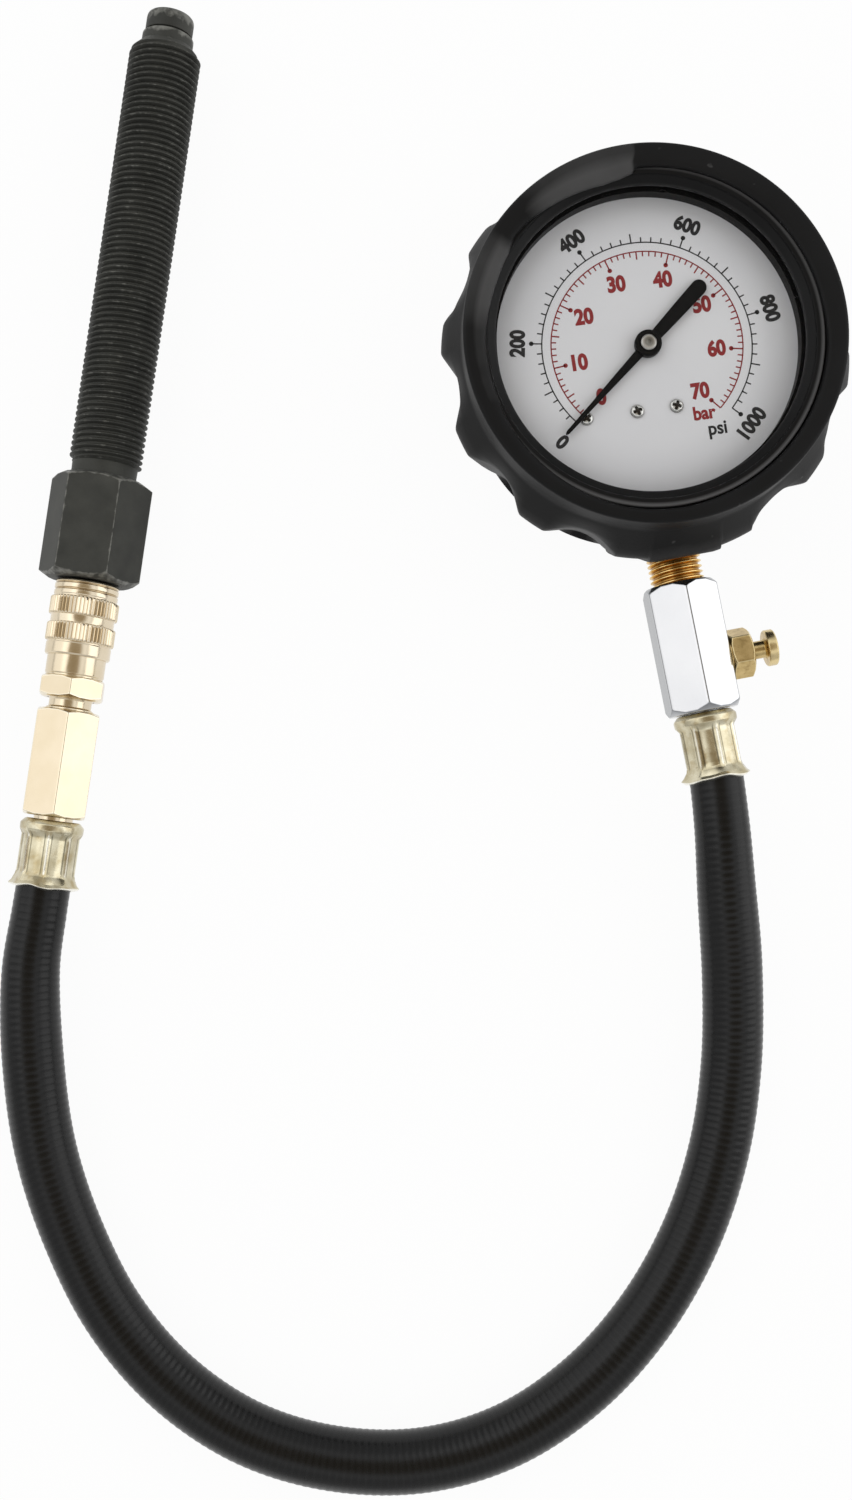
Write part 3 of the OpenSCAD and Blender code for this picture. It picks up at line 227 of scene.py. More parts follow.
def black_paint():
    f = Finish("black_paint")
    grain, cloud = f.noise(0.4, 2), f.noise(9, 3)
    colour = f.mix(f.between(cloud, 0.3, 0.7), (0.0022, 0.0022, 0.0024), (0.004, 0.004, 0.0042))
    # Lighter where the mark is high: a painted highlight along the bezel's outer top edge and, fainter, along
    # its inner edge
    colour = f.mix(f.between(f.mark(), 0.4, 1.0) * 0.8, colour, (0.11, 0.11, 0.112))
    rough = 0.34 + 0.12 * cloud
    return f.show(f.shader(colour, rough, Normal=f.bump(grain, 0.02, 0.3), specular_ior_level=0.15))


def black_plastic():
    f = Finish("black_plastic")
    grain, cloud = f.noise(0.3, 2), f.noise(5, 2)
    colour = f.mix(cloud, (0.0016, 0.0016, 0.0018), (0.0032, 0.0032, 0.0034))
    rough = 0.38 + 0.1 * grain
    return f.show(f.shader(colour, rough, Normal=f.bump(grain, 0.02, 0.3), specular_ior_level=0.1))


def window_clear():
    f = Finish("window_clear")
    smear = f.noise(18, 2)
    rough = 0.02 + 0.05 * f.between(smear, 0.5, 0.8)
    return f.show(f.shader((0.03, 0.03, 0.03), rough, alpha=0.06, specular_ior_level=0.5))


# Radii between which painted shade darkens the dial towards its edge, standing in for the rim's shadow
DIAL_SHADE = (24.0, 36.2)


def dial_white():
    f = Finish("dial_white")
    grain, cloud = f.noise(0.25, 2), f.noise(30, 2)
    at = f.place()
    parts = {}
    for axis in ("X", "Y"):
        parts[axis] = f.node("ShaderNodeSeparateXYZ", None, {0: at}, axis)
    reach = (parts["X"] * parts["X"] + parts["Y"] * parts["Y"]) ** 0.5
    edge = f.between(reach, DIAL_SHADE[0] * MM, DIAL_SHADE[1] * MM)
    colour = f.mix(f.between(cloud, 0.3, 0.7), (0.82, 0.83, 0.86), (0.86, 0.87, 0.895))
    # Painted shade: the dial's colour darkens towards its edge
    colour = f.mix(edge * 0.4, colour, (0.50, 0.515, 0.55))
    return f.show(f.shader(colour, 0.42 + 0.08 * grain, Normal=f.bump(grain, 0.01, 0.2)))


def print_ink(name, dark, light):
    f = Finish(name)
    grain = f.noise(0.35, 2)
    return f.show(f.shader(f.mix(grain, dark, light), 0.5 + 0.1 * grain))


def metal(name, dull, bright, rough, scratch=0.06, cloud_size=9.0, edge=(0.95, 0.93, 0.88), wear=0.6,
          tone=None, groove=(0.05, 0.045, 0.04)):
    """Bare or plated metal: clouds, fine scratches, an edge colour at mark 1 and painted shade in grooves at
    mark -1. The edge colour is wear on most metals, a painted highlight on the stem's thread crests and on
    the ferrule's ridges and lip, and painted shade on the block.
    """
    f = Finish(name)
    cloud, fine = f.noise(cloud_size, 3), f.noise(0.35, 2)
    lines = f.noise(1.2, 3, 0.6, (1, 1, 9))
    colour = f.mix(f.between(cloud, 0.3, 0.7), dull, bright)
    if tone:
        colour = f.mix(f.between(f.noise(cloud_size * 0.45, 2), 0.5, 0.72) * 0.7, colour, tone)
    colour = f.mix(f.between(f.mark(), 0.3, 1.0) * wear, colour, edge)
    # Painted shade in grooves, recesses and beside ridges, at negative marks
    colour = f.mix(f.between(f.mark(), -0.1, -1.0), colour, groove)
    gloss = rough + scratch * f.between(lines, 0.35, 0.75) + 0.05 * cloud
    return f.show(f.shader(colour, gloss, metallic=1.0, Normal=f.bump(fine, 0.01, 0.25)))


def black_oxide():
    f = Finish("black_oxide")
    cloud, fine, spots = f.noise(7, 4), f.noise(0.3, 3), f.noise(1.6, 2)
    worn = f.between(f.mark() + (spots - 0.5) * 1.8, 0.55, 1.1)
    colour = f.mix(f.between(cloud, 0.3, 0.7), (0.040, 0.041, 0.037), (0.064, 0.065, 0.058))
    colour = f.mix(worn * 0.7, colour, (0.24, 0.24, 0.22))
    rough = 0.52 + 0.12 * cloud - 0.14 * worn
    skin = f.bump(fine, 0.03, 0.35)
    return f.show(f.shader(colour, rough, metallic=0.4, Normal=skin, specular_ior_level=0.25))


FINISHES = {
    "boot_rubber": boot_rubber(),
    "hose_rubber": hose_rubber(),
    "case_paint": black_paint(),
    "black_plastic": black_plastic(),
    "window_clear": window_clear(),
    "dial_white": dial_white(),
    # screw_steel: its groove colour is painted shade in the dial screws' cross recesses and around their
    # heads
    "screw_steel": metal("screw_steel", (0.66, 0.66, 0.63), (0.80, 0.80, 0.77), 0.18),
    "spring_steel": metal("spring_steel", (0.35, 0.36, 0.37), (0.5, 0.51, 0.52), 0.3),
    # stem_brass: its edge colour is a painted highlight on the thread's crests, its groove colour painted
    # shade in the roots
    "stem_brass": metal("stem_brass", (0.72, 0.46, 0.14), (0.86, 0.60, 0.22), 0.2, edge=(0.98, 0.80, 0.42),
                        groove=(0.36, 0.19, 0.045)),
    # block_plate: its dark edge colour is painted shade on the block's side faces, chamfers and corners
    "block_plate": metal("block_plate", (0.66, 0.665, 0.68), (0.73, 0.73, 0.74), 0.16, 0.05, 20,
                         edge=(0.24, 0.25, 0.265), wear=0.9),
    "valve_brass": metal("valve_brass", (0.46, 0.335, 0.14), (0.66, 0.50, 0.24), 0.2, edge=(0.90, 0.77, 0.46),
                         cloud_size=3.5, tone=(0.30, 0.205, 0.075)),
    # ferrule_zinc: its edge colour is a painted highlight on the ridges between flutes and on the lip, its
    # groove colour painted shade beside the ridges
    "ferrule_zinc": metal("ferrule_zinc", (0.42, 0.36, 0.22), (0.74, 0.69, 0.52), 0.2, cloud_size=5.0,
                          edge=(0.95, 0.93, 0.84), wear=0.9, tone=(0.40, 0.31, 0.16),
                          groove=(0.10, 0.09, 0.055)),
    "seal_rubber": print_ink("seal_rubber", (0.006, 0.006, 0.006), (0.014, 0.014, 0.014)),
    "washer_copper": metal("washer_copper", (0.55, 0.25, 0.12), (0.72, 0.36, 0.2), 0.3),
    # pale_brass: its groove colour is painted shade in the sleeve's knurl valleys and slots
    "pale_brass": metal("pale_brass", (0.71, 0.605, 0.435), (0.78, 0.68, 0.52), 0.15, cloud_size=12.0,
                        edge=(0.98, 0.92, 0.76), groove=(0.34, 0.23, 0.10)),
    "black_oxide": black_oxide(),
}
INK_BLACK = print_ink("ink_black", (0.006, 0.006, 0.008), (0.012, 0.012, 0.014))
INK_RED = print_ink("ink_red", (0.25, 0.010, 0.014), (0.33, 0.018, 0.020))
CAP_METAL = metal("cap_metal", (0.22, 0.215, 0.195), (0.34, 0.33, 0.30), 0.3)
for sub in frame["record"]["subparts"]:
    thing = frame["nodes"][sub["node"]]
    for held in thing.material_slots:
        held.material = FINISHES[sub["material_slot"]]


# Mesh making

def on_stem(p):
    """From the stem's own frame, with +Z down the stem, to the gauge's frame."""
    return np.stack([p[:, 0], -p[:, 2], STEM_Z + p[:, 1]], 1)


def on_relief(p):
    """From the relief valve's own frame, with +Z out of the block's face."""
    return np.stack([BLOCK_FACE + p[:, 2], -RELIEF_Y + p[:, 1], STEM_Z - p[:, 0]], 1)


def on_adapter(p):
    """From the adapter's own frame, with +Z towards the nose."""
    c, s = math.cos(ADAPTER_TURN), math.sin(ADAPTER_TURN)
    return ADAPTER_AT + np.stack([p[:, 0] * c + p[:, 2] * s, -p[:, 0] * s + p[:, 2] * c, -p[:, 1]], 1)


def on_gauge(p):
    return p


class Shape:
    """Rows of points joined into a skin, with a mark: 1 on a worn edge (on some finishes a painted highlight,
    on the block painted shade), -1 for painted shade in a groove.
    """

    def __init__(self):
        self.points, self.faces, self.marks, self.count = [], [], [], 0

    def rows(self, rows, marks=None, first=False, last=False):
        n, base = len(rows[0]), self.count
        for i, row in enumerate(rows):
            self.points.append(np.asarray(row, float))
            mark = 0.0 if marks is None else marks[i]
            self.marks.append(np.broadcast_to(np.asarray(mark, float), (n,)))
        self.count += n * len(rows)
        k = np.arange(n)
        for i in range(len(rows) - 1):
            a = base + i * n
            quads = np.stack([a + k, a + (k + 1) % n, a + n + (k + 1) % n, a + n + k], 1)
            self.faces.extend(quads.tolist())
        if first:
            self.faces.append(list(range(base + n - 1, base - 1, -1)))
        if last:
            self.faces.append(list(range(base + n * (len(rows) - 1), base + n * len(rows))))
        return self

    def turned(self, profile, sides=96, reach=None, marks=None):
        """Turned on a lathe: profile is (radius, height), and reach may change the radius by angle."""
        angle = np.arange(sides) * TURN / sides
        rows = []
        for r, z in profile:
            far = np.full(sides, float(r)) if reach is None else reach(r, z, angle)
            rows.append(np.stack([far * np.cos(angle), far * np.sin(angle), np.full(sides, float(z))], 1))
        return self.rows(rows, marks)

    def thread(self, crest, root, pitch, start, end, sides=72, limit=None, wear=1.0, root_shade=0.0):
        """Screw thread: one strip that climbs a pitch a turn."""
        # Crests take the mark wear and roots minus root_shade: on the stem these are a painted highlight and
        # painted shade
        steps = [(0.125, root, -root_shade), (0.4375, crest, wear), (0.5625, crest, wear), (0.875, root, -root_shade)]
        turns = int(math.ceil((end - start) / pitch)) + 2
        rows = [(start + (t - 1 + s[0]) * pitch, s[1], s[2]) for t in range(turns) for s in steps]
        angle = np.arange(sides) * TURN / sides
        base, n, m = self.count, sides, len(rows)
        for z, r, mark in rows:
            high = np.clip(z + pitch * np.arange(sides) / sides, start, end)
            far = np.full(sides, r) if limit is None else np.minimum(r, limit(high))
            self.points.append(np.stack([far * np.cos(angle), far * np.sin(angle), high], 1))
            self.marks.append(np.full(sides, mark))
        self.count += n * m
        for i in range(m - 1):
            for k in range(n):
                j = (k + 1) % n
                lift = 0 if k + 1 < n else len(steps)
                if i + 1 + lift < m:
                    quad = ((i, k), (i + lift, j), (i + 1 + lift, j), (i + 1, k))
                    self.faces.append([base + row * n + at for row, at in quad])
        return self

    def hexagon(self, across, start, end, bevel, turn, corner, hole, inset=0.45, slope=0.577, upright_shade=0.0):
        """Hexagonal bar with rounded corners and bevelled ends. Its faces that look along ±x get the mark
        upright_shade: painted shade, where the finish's edge colour is dark.
        """
        flat, limit = across / 2, across / math.sqrt(3) - 2 * bevel
        outline, marks = [], []
        for k in range(6):
            mid = math.radians(60 * k) + turn
            heart = (flat - corner) / math.cos(math.pi / 6) * np.array([math.cos(mid), math.sin(mid)])
            for part in range(-2, 3):
                a = mid + part * math.pi / 12
                outline.append(heart + corner * np.array([math.cos(a), math.sin(a)]))
                marks.append(1.0 - 0.25 * abs(part))
            after = mid + math.pi / 6
            side = np.array([-math.sin(after), math.cos(after)])
            half = flat * math.tan(math.pi / 6) - corner * math.tan(math.pi / 6)
            for share in (-half + inset, -half / 3, half / 3, half - inset):
                outline.append(flat * np.array([math.cos(after), math.sin(after)]) + share * side)
                marks.append(upright_shade if abs(math.sin(after)) < 0.3 else 0.0)
        outline, marks = np.array(outline), np.array(marks)
        reach = np.linalg.norm(outline, axis=1)
        drop = np.maximum(reach - limit, 0.02) * slope
        way = outline / reach[:, None]

        def ring(r, z):
            return np.column_stack([way * r, np.full(len(way), z)])

        def wall(z):
            return np.column_stack([outline, z])

        one = np.ones(len(way))
        rows = [ring(hole[0], start), ring(limit - inset, start), ring(limit, start),
                wall(start + drop), wall(start + drop + inset), wall((start + end) / 2 * one),
                wall(end - drop - inset), wall(end - drop),
                ring(limit, end), ring(limit - inset, end), ring(hole[1], end)]
        shade = [0 * one, 0 * one, 0.6 * one, one, marks, marks, marks, one, 0.6 * one, 0 * one, 0 * one]
        return self.rows(rows, shade)

    def block(self, low, high):
        """Plain block between two corners, for a piece inside the case."""
        x0, y0, z0 = low
        x1, y1, z1 = high
        plan = [(x0, y0), (x1, y0), (x1, y1), (x0, y1)]
        return self.rows([[(x, y, z) for x, y in plan] for z in (z0, z1)], None, True, True)

    def build(self, name, place, body, slot, finish=None, stands_for=(), bevel=0.0, sharp=38.0, weld=0.0):
        """Makes the piece, in metres, riding on a body."""
        mesh = bpy.data.meshes.new(name)
        points = place(np.concatenate(self.points)) * MM
        mesh.from_pydata(points.tolist(), [], self.faces)
        shade = mesh.attributes.new("mark", "FLOAT", "POINT")
        shade.data.foreach_set("value", np.concatenate(self.marks).astype(np.float32))
        skin = bmesh.new()
        skin.from_mesh(mesh)
        if weld:
            bmesh.ops.remove_doubles(skin, verts=skin.verts, dist=weld * MM)
            bmesh.ops.dissolve_degenerate(skin, edges=skin.edges, dist=weld * MM)
        bmesh.ops.recalc_face_normals(skin, faces=skin.faces)
        for face in skin.faces:
            face.smooth = True
        for edge in skin.edges:
            if len(edge.link_faces) == 2 and edge.calc_face_angle() > math.radians(sharp):
                edge.smooth = False
        skin.to_mesh(mesh)
        skin.free()
        thing = bpy.data.objects.new(name, mesh)
        bpy.context.collection.objects.link(thing)
        mesh.materials.append(finish or FINISHES[slot])
        if bevel:
            round_off = thing.modifiers.new("round_off", "BEVEL")
            round_off.width = bevel * MM
            round_off.segments = 2
            round_off.limit_method = "ANGLE"
            round_off.angle_limit = math.radians(25)
        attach(thing, body)
        if stands_for:
            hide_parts(*stands_for)
        return thing


def rounded(corners, steps=4):
    """Profile with its corners rounded: each corner is (radius, height) or (radius, height, rounding)."""
    out = []
    for i, corner in enumerate(corners):
        here = np.array(corner[:2], float)
        size = corner[2] if len(corner) > 2 else 0
        if not size or i in (0, len(corners) - 1):
            out.append(tuple(here))
            continue
        before = np.array(corners[i - 1][:2], float) - here
        after = np.array(corners[i + 1][:2], float) - here
        a, b = np.linalg.norm(before), np.linalg.norm(after)
        before, after = before / a, after / b
        half = math.acos(np.clip(before @ after, -1, 1)) / 2
        run = min(size / math.tan(half), 0.49 * a, 0.49 * b)
        p, q = here + before * run, here + after * run
        for k in range(steps + 1):
            t = k / steps
            out.append(tuple((1 - t) ** 2 * p + 2 * t * (1 - t) * here + t * t * q))
    return out


def ease(x, low, high):
    t = np.clip((x - low) / (high - low), 0, 1)
    return t * t * (3 - 2 * t)


# Hose

HOSE_ROUTE = [
    (0, -88.2, 17), (0, -99.9, 17), (-0.1, -104, 17), (-1.0, -116, 16.5), (-2.4, -130, 14.5),
    (-4.6, -152, 11), (-8.8, -174, 8.5), (-16, -194.5, 7.6), (-27, -213.5, 7.5), (-41.5, -230, 7.5),
    (-59, -243, 7.5), (-79.5, -251.5, 7.5), (-101, -253.5, 7.5), (-122.5, -249, 7.5), (-142, -239, 7.5),
    (-158, -223.5, 7.5), (-169, -205, 7.5), (-175.5, -184, 7.6), (-178.5, -162.5, 8.2),
    (-177.5, -140, 9.4), (-174, -118.5, 10.6), (-169.5, -105, 11), (-167.52, -99.23, 11),
    (-166.23, -95.34, 11), (-162.56, -84.23, 11)]

HOSE_STEP, PATH_EVERY = 0.4, 5
HOSE_CRIMPED_R, MOUTH_SWELL, FREE_SWELL = 6.0, 0.6, 0.83
# Lengths from either end over which the hose swells and its ribs begin
MOUTH_RUN, FREE_RUN, RIB_RUN = (11.9, 14.6), (14.0, 60.0), (15.0, 19.0)
RIB_PITCH, RIB_HEIGHT = 1.75, 0.05


def smooth_route(points, step):
    """Even points along one smooth curve through the route."""
    p = np.array(points, float)
    p = np.vstack([2 * p[0] - p[1], p, 2 * p[-1] - p[-2]])
    out = []
    for i in range(1, len(p) - 2):
        a, b, c, d = p[i - 1:i + 3]
        u = [0.0]
        for start, end in ((a, b), (b, c), (c, d)):
            u.append(u[-1] + math.sqrt(np.linalg.norm(end - start)))
        count = max(2, int(np.linalg.norm(c - b) / step))
        for k in range(count):
            t = u[1] + (u[2] - u[1]) * k / count
            ab = a + (b - a) * (t - u[0]) / (u[1] - u[0])
            bc = b + (c - b) * (t - u[1]) / (u[2] - u[1])
            cd = c + (d - c) * (t - u[2]) / (u[3] - u[2])
            abc = ab + (bc - ab) * (t - u[0]) / (u[2] - u[0])
            bcd = bc + (cd - bc) * (t - u[1]) / (u[3] - u[1])
            out.append(abc + (bcd - abc) * (t - u[1]) / (u[2] - u[1]))
    out.append(p[-2])
    return np.array(out)


def make_hose(sides=48):
    """Hose along its route, a little thinner at the ferrules, with the ribs of its wrapped cover."""
    line = smooth_route(HOSE_ROUTE, HOSE_STEP)
    ahead = np.gradient(line, axis=0)
    ahead /= np.linalg.norm(ahead, axis=1)[:, None]
    across = np.cross(ahead, (0, 0, 1))
    across /= np.linalg.norm(across, axis=1)[:, None]
    above = np.cross(across, ahead)
    run = np.concatenate([[0], np.cumsum(np.linalg.norm(np.diff(line, axis=0), axis=1))])
    total = run[-1]
    from_end = np.minimum(run, total - run)
    swell = MOUTH_SWELL * ease(from_end, *MOUTH_RUN) + FREE_SWELL * ease(from_end, *FREE_RUN)
    thick = HOSE_CRIMPED_R + swell
    shown = ease(from_end, *RIB_RUN)
    angle = np.arange(sides) * TURN / sides
    rows, marks = [], []
    for i, at in enumerate(line):
        rib = np.sin(TURN * run[i] / RIB_PITCH + angle) * shown[i]
        far = (thick[i] + RIB_HEIGHT * rib)[:, None]
        rows.append(at + far * (np.cos(angle)[:, None] * across[i] + np.sin(angle)[:, None] * above[i]))
        marks.append(rib)
    shape = Shape().rows(rows, marks, True, True)
    hose = shape.build("hose_tube", on_gauge, "gauge_body", "hose_rubber", stands_for=("hose",))


make_hose()


# Gauge: boot, bezel, dial, print, pointer and screws

BOOT_RIM, BOOT_LOBE, BOOT_VALLEY, LOBES = 44.9, 49.8, 45.45, 12
BOOT_TOP, BOOT_LEDGE = 46.2, 42.7
LOBE_FLAT, SCALLOP_LEAN, STEM_CLEAR = 10, 12, 20
SCALLOP_MID, SCALLOP_SOFT, NO_CUT = 28.0, 2.2, 60.0
SIDE_LOW, SIDE_HIGH = 0.5, 38.2
PAD_HALF, PAD_TOP, PAD_STEP, PAD_MOST = 8.7, 33, 0.3, 0.8
# The soft boot sits a little to one side of the case and leans along the stem: shift by height
BOOT_ASIDE, BOOT_SHIFT = 0.9, ((12, 42), (-0.5, 0.45))
# Inner edge of the lip: direction in degrees and radius
LIP_EVEN = 40.0
LIP_EDGE = [
    (0, 40.2), (30, 40.0), (76, 39.7), (84.6, 39.5), (86.2, 38.2), (91, 37.3), (97, 36.95), (107, 37.5),
    (117, 38.2), (127, 39.0), (134, 39.2), (140, 38.3), (150, 38.1), (159, 38.25), (169, 38.75),
    (192, 38.9), (202, 39.4), (230, 40.2), (250, 40.9), (270, 41.0), (285, 40.75), (345, 40.7), (360, 40.2)]
# Section of the lip: share of the way from its edge to the ledge, and height
LIP_CURL = (
    (0.55, 46.2), (0.25, 46.05), (0.08, 45.75), (0.0, 45.35), (0.0, 45.0), (0.1, 44.85), (0.5, 44.83))
LIP_UNDER = (44.8, 43.6)
BOOT_SEAT = 40.5
BOOT_INSIDE = ((BOOT_SEAT, 43.4), (BOOT_SEAT, 36.1), (39.1, 36.1), (39.1, 3.0), (2, 3.0))


def make_boot(sides=720):
    """Rubber boot: tapered lobes, leaning scallops, a rim, and a lip that has crept over the bezel."""
    half = math.radians((360 / LOBES - LOBE_FLAT) / 2)
    edge = BOOT_LOBE * np.array([math.cos(half), math.sin(half)])
    deep = edge[0] - BOOT_VALLEY
    hollow = (deep ** 2 + edge[1] ** 2) / (2 * deep)
    lean = math.tan(math.radians(SCALLOP_LEAN))
    angle = np.arange(sides) * TURN / sides
    pitch = TURN / LOBES
    off = (angle + pitch / 2) % pitch - pitch / 2
    from_stem = (angle - 1.5 * math.pi + math.pi) % TURN - math.pi
    near_stem = np.abs(from_stem) < math.radians(STEM_CLEAR)
    pad = np.abs(from_stem) < math.asin(PAD_HALF / BOOT_LOBE)
    lip = np.interp(np.degrees(angle), *zip(*LIP_EDGE))
    crept = ease(LIP_EVEN - lip, 0.6, 2.0)

    def soft_least(a, b, k):
        h = np.clip(0.5 + 0.5 * (b - a) / k, 0, 1)
        return b * (1 - h) + a * h - k * h * (1 - h)

    def scallop(z):
        heart = BOOT_VALLEY + hollow + (z - SCALLOP_MID) * lean
        aside = heart * np.sin(off)
        inside = np.maximum(hollow ** 2 - aside ** 2, 0)
        cut = np.where(np.abs(aside) < hollow, heart * np.cos(off) - np.sqrt(inside), NO_CUT)
        return np.where(near_stem, NO_CUT, cut)

    def side(r, z):
        if not SIDE_LOW < z < SIDE_HIGH:
            return np.full(sides, r)
        far = soft_least(np.full(sides, r), scallop(z), SCALLOP_SOFT)
        flat = np.minimum(far + PAD_MOST, (PAD_STEP + r) / np.cos(from_stem))
        return np.where(pad & (z > 1) & (z < PAD_TOP), flat, far)

    def ring(far, z, aside=(0.0, 0.0)):
        x, y = far * np.cos(angle) + aside[0], far * np.sin(angle) + aside[1]
        return np.stack([x, y, np.full(sides, z)], 1)

    outer = rounded([(2, 0), (36, 0), (41.0, 0, 0.8), (43.2, 2, 1.5), (45.0, 9), (46.7, 16), (48.5, 23),
                     (BOOT_LOBE, 28.2, 5.0), (47.3, 33.4), (BOOT_RIM, 38.3, 4.0), (BOOT_RIM, 42),
                     (BOOT_RIM, BOOT_TOP, 2.6), (BOOT_LEDGE, BOOT_TOP)], 6)
    rows, marks = [], []
    for r, z in outer:
        far = side(r, z)
        rows.append(ring(far, z, (BOOT_ASIDE, np.interp(z, *BOOT_SHIFT))))
        # The mark: lighter where the lobes stand out, and a painted sheen on the rim where the lip has crept
        # inward
        rim_sheen = crept * 0.5 * ease(np.full(sides, z), 43, 46)
        marks.append(ease(far, 46.5, 50.0) * 0.5 if 2 < z < 34 else rim_sheen)
    for share, z in LIP_CURL:
        rows.append(ring(lip + share * (BOOT_LEDGE - lip), z))
        # On the crept lip the mark is a painted sheen
        marks.append(crept if z > 45.2 else np.full(sides, 0.1))
    for z in LIP_UNDER:
        rows.append(ring(np.maximum(BOOT_SEAT, lip), z))
        marks.append(np.zeros(sides))
    for r, z in BOOT_INSIDE:
        rows.append(ring(np.full(sides, float(r)), z))
        marks.append(np.zeros(sides))
    Shape().rows(rows, marks, True, True).build("boot_skin", on_gauge, "gauge_body", "boot_rubber",
                                                stands_for=("rubber_boot",), sharp=50)


def make_bezel():
    profile = rounded([(39.1, 42.7), (39.1, 36.1), (40.4, 36.1, 0.2), (40.4, 44.8, 0.5), (38.5, 44.8, 0.35),
                       (38.2, 44.35, 0.2), (36.3, 43.15, 0.18), (36.3, 42.7), (39.1, 42.7)], 4)
    # Mark 1 on the outer top edge and 0.5 on the inner edge, for painted highlight lines
    marks = [1.0 if r > 39.8 and z > 44.2 else 0.5 if r < 36.5 and z > 42.9 else 0.0 for r, z in profile]
    Shape().turned(profile, 240, None, marks).build("bezel_turned", on_gauge, "gauge_body", "case_paint",
                                                    stands_for=("bezel_ring",))


def dial_at(reach, degrees):
    """Point on the dial, from a radius and a direction on the dial's own scale."""
    a = math.radians(degrees) + DIAL_TURN
    return reach * math.cos(a), reach * math.sin(a)


INK_LOW, INK_HIGH = DIAL_TOP + 0.005, DIAL_TOP + 0.03
DOT_SIDES, ARC_PARTS = 20, 180
# Height of a word's letters and the middle of that height, for a face of size 1
WORD_HIGH, WORD_MIDDLE = 0.72, 0.26


class Print(Shape):
    """Flat print on the dial."""

    def patch(self, plan):
        return self.rows([[(x, y, z) for x, y in plan] for z in (INK_LOW, INK_HIGH)], None, True, True)

    def tick(self, degrees, near, far, wide):
        a = math.radians(degrees) + DIAL_TURN
        out, side = np.array([math.cos(a), math.sin(a)]), np.array([-math.sin(a), math.cos(a)])
        corners = ((near, -1), (far, -1), (far, 1), (near, 1))
        return self.patch([out * r + side * s * wide / 2 for r, s in corners])

    def dot(self, degrees, reach, size):
        x, y = dial_at(reach, degrees)
        around = np.arange(DOT_SIDES) * TURN / DOT_SIDES
        return self.patch([(x + size * math.cos(a), y + size * math.sin(a)) for a in around])

    def arc(self, start, end, reach, wide):
        steps = np.linspace(start, end, ARC_PARTS + 1)
        outer = [dial_at(reach + wide / 2, d) for d in steps]
        inner = [dial_at(reach - wide / 2, d) for d in steps]
        for i in range(ARC_PARTS):
            self.patch([inner[i], inner[i + 1], outer[i + 1], outer[i]])
        return self

    def words(self, text, x, y, turn, tall, squeeze, weight):
        """Characters with Blender's own plain face, made into a flat patch."""
        face = bpy.data.curves.new("dial_word", "FONT")
        face.body = text
        face.align_x = face.align_y = "CENTER"
        face.size = 1.0
        face.offset = weight
        face.resolution_u = 5
        word = bpy.data.objects.new("dial_word", face)
        bpy.context.collection.objects.link(word)
        flat = bpy.data.meshes.new_from_object(word.evaluated_get(bpy.context.evaluated_depsgraph_get()))
        p = np.array([v.co for v in flat.vertices])
        high, middle = WORD_HIGH, WORD_MIDDLE
        if text[0].isdigit():
            high = p[:, 1].max() - p[:, 1].min()
            middle = (p[:, 1].max() + p[:, 1].min()) / 2
        p[:, 1] -= middle
        p[:, 0] -= (p[:, 0].max() + p[:, 0].min()) / 2
        scale = tall / high
        u, v = p[:, 0] * scale * squeeze, p[:, 1] * scale
        c, s = math.cos(turn), math.sin(turn)
        base = self.count
        self.points.append(np.stack([x + u * c - v * s, y + u * s + v * c, np.full(len(p), INK_HIGH)], 1))
        self.marks.append(np.zeros(len(p)))
        self.faces.extend([[base + i for i in poly.vertices] for poly in flat.polygons])
        self.count += len(p)
        bpy.data.objects.remove(word)
        bpy.data.curves.remove(face)
        bpy.data.meshes.remove(flat)
        return self


# Scales: directions in degrees on the dial's own scale, radii and widths in millimetres
ZERO_AT, SWEEP, ARC_START = 225, 270, 219.8
PSI_FULL, BAR_FULL, BAR_LAST = 1000, 68.948, 70
PSI_R, PSI_DOT_R, PSI_WORD_R, PSI_WORD_FIRST = 25.0, 27.5, 30.8, 220.6
BAR_R, BAR_DOT_R, BAR_WORD_R, BAR_FIRST = 22.8, 20.0, 16.5, 220
ARC_WIDE, FINE_WIDE, BOLD_WIDE, DOT_R = 0.3, 0.32, 0.34, 0.55


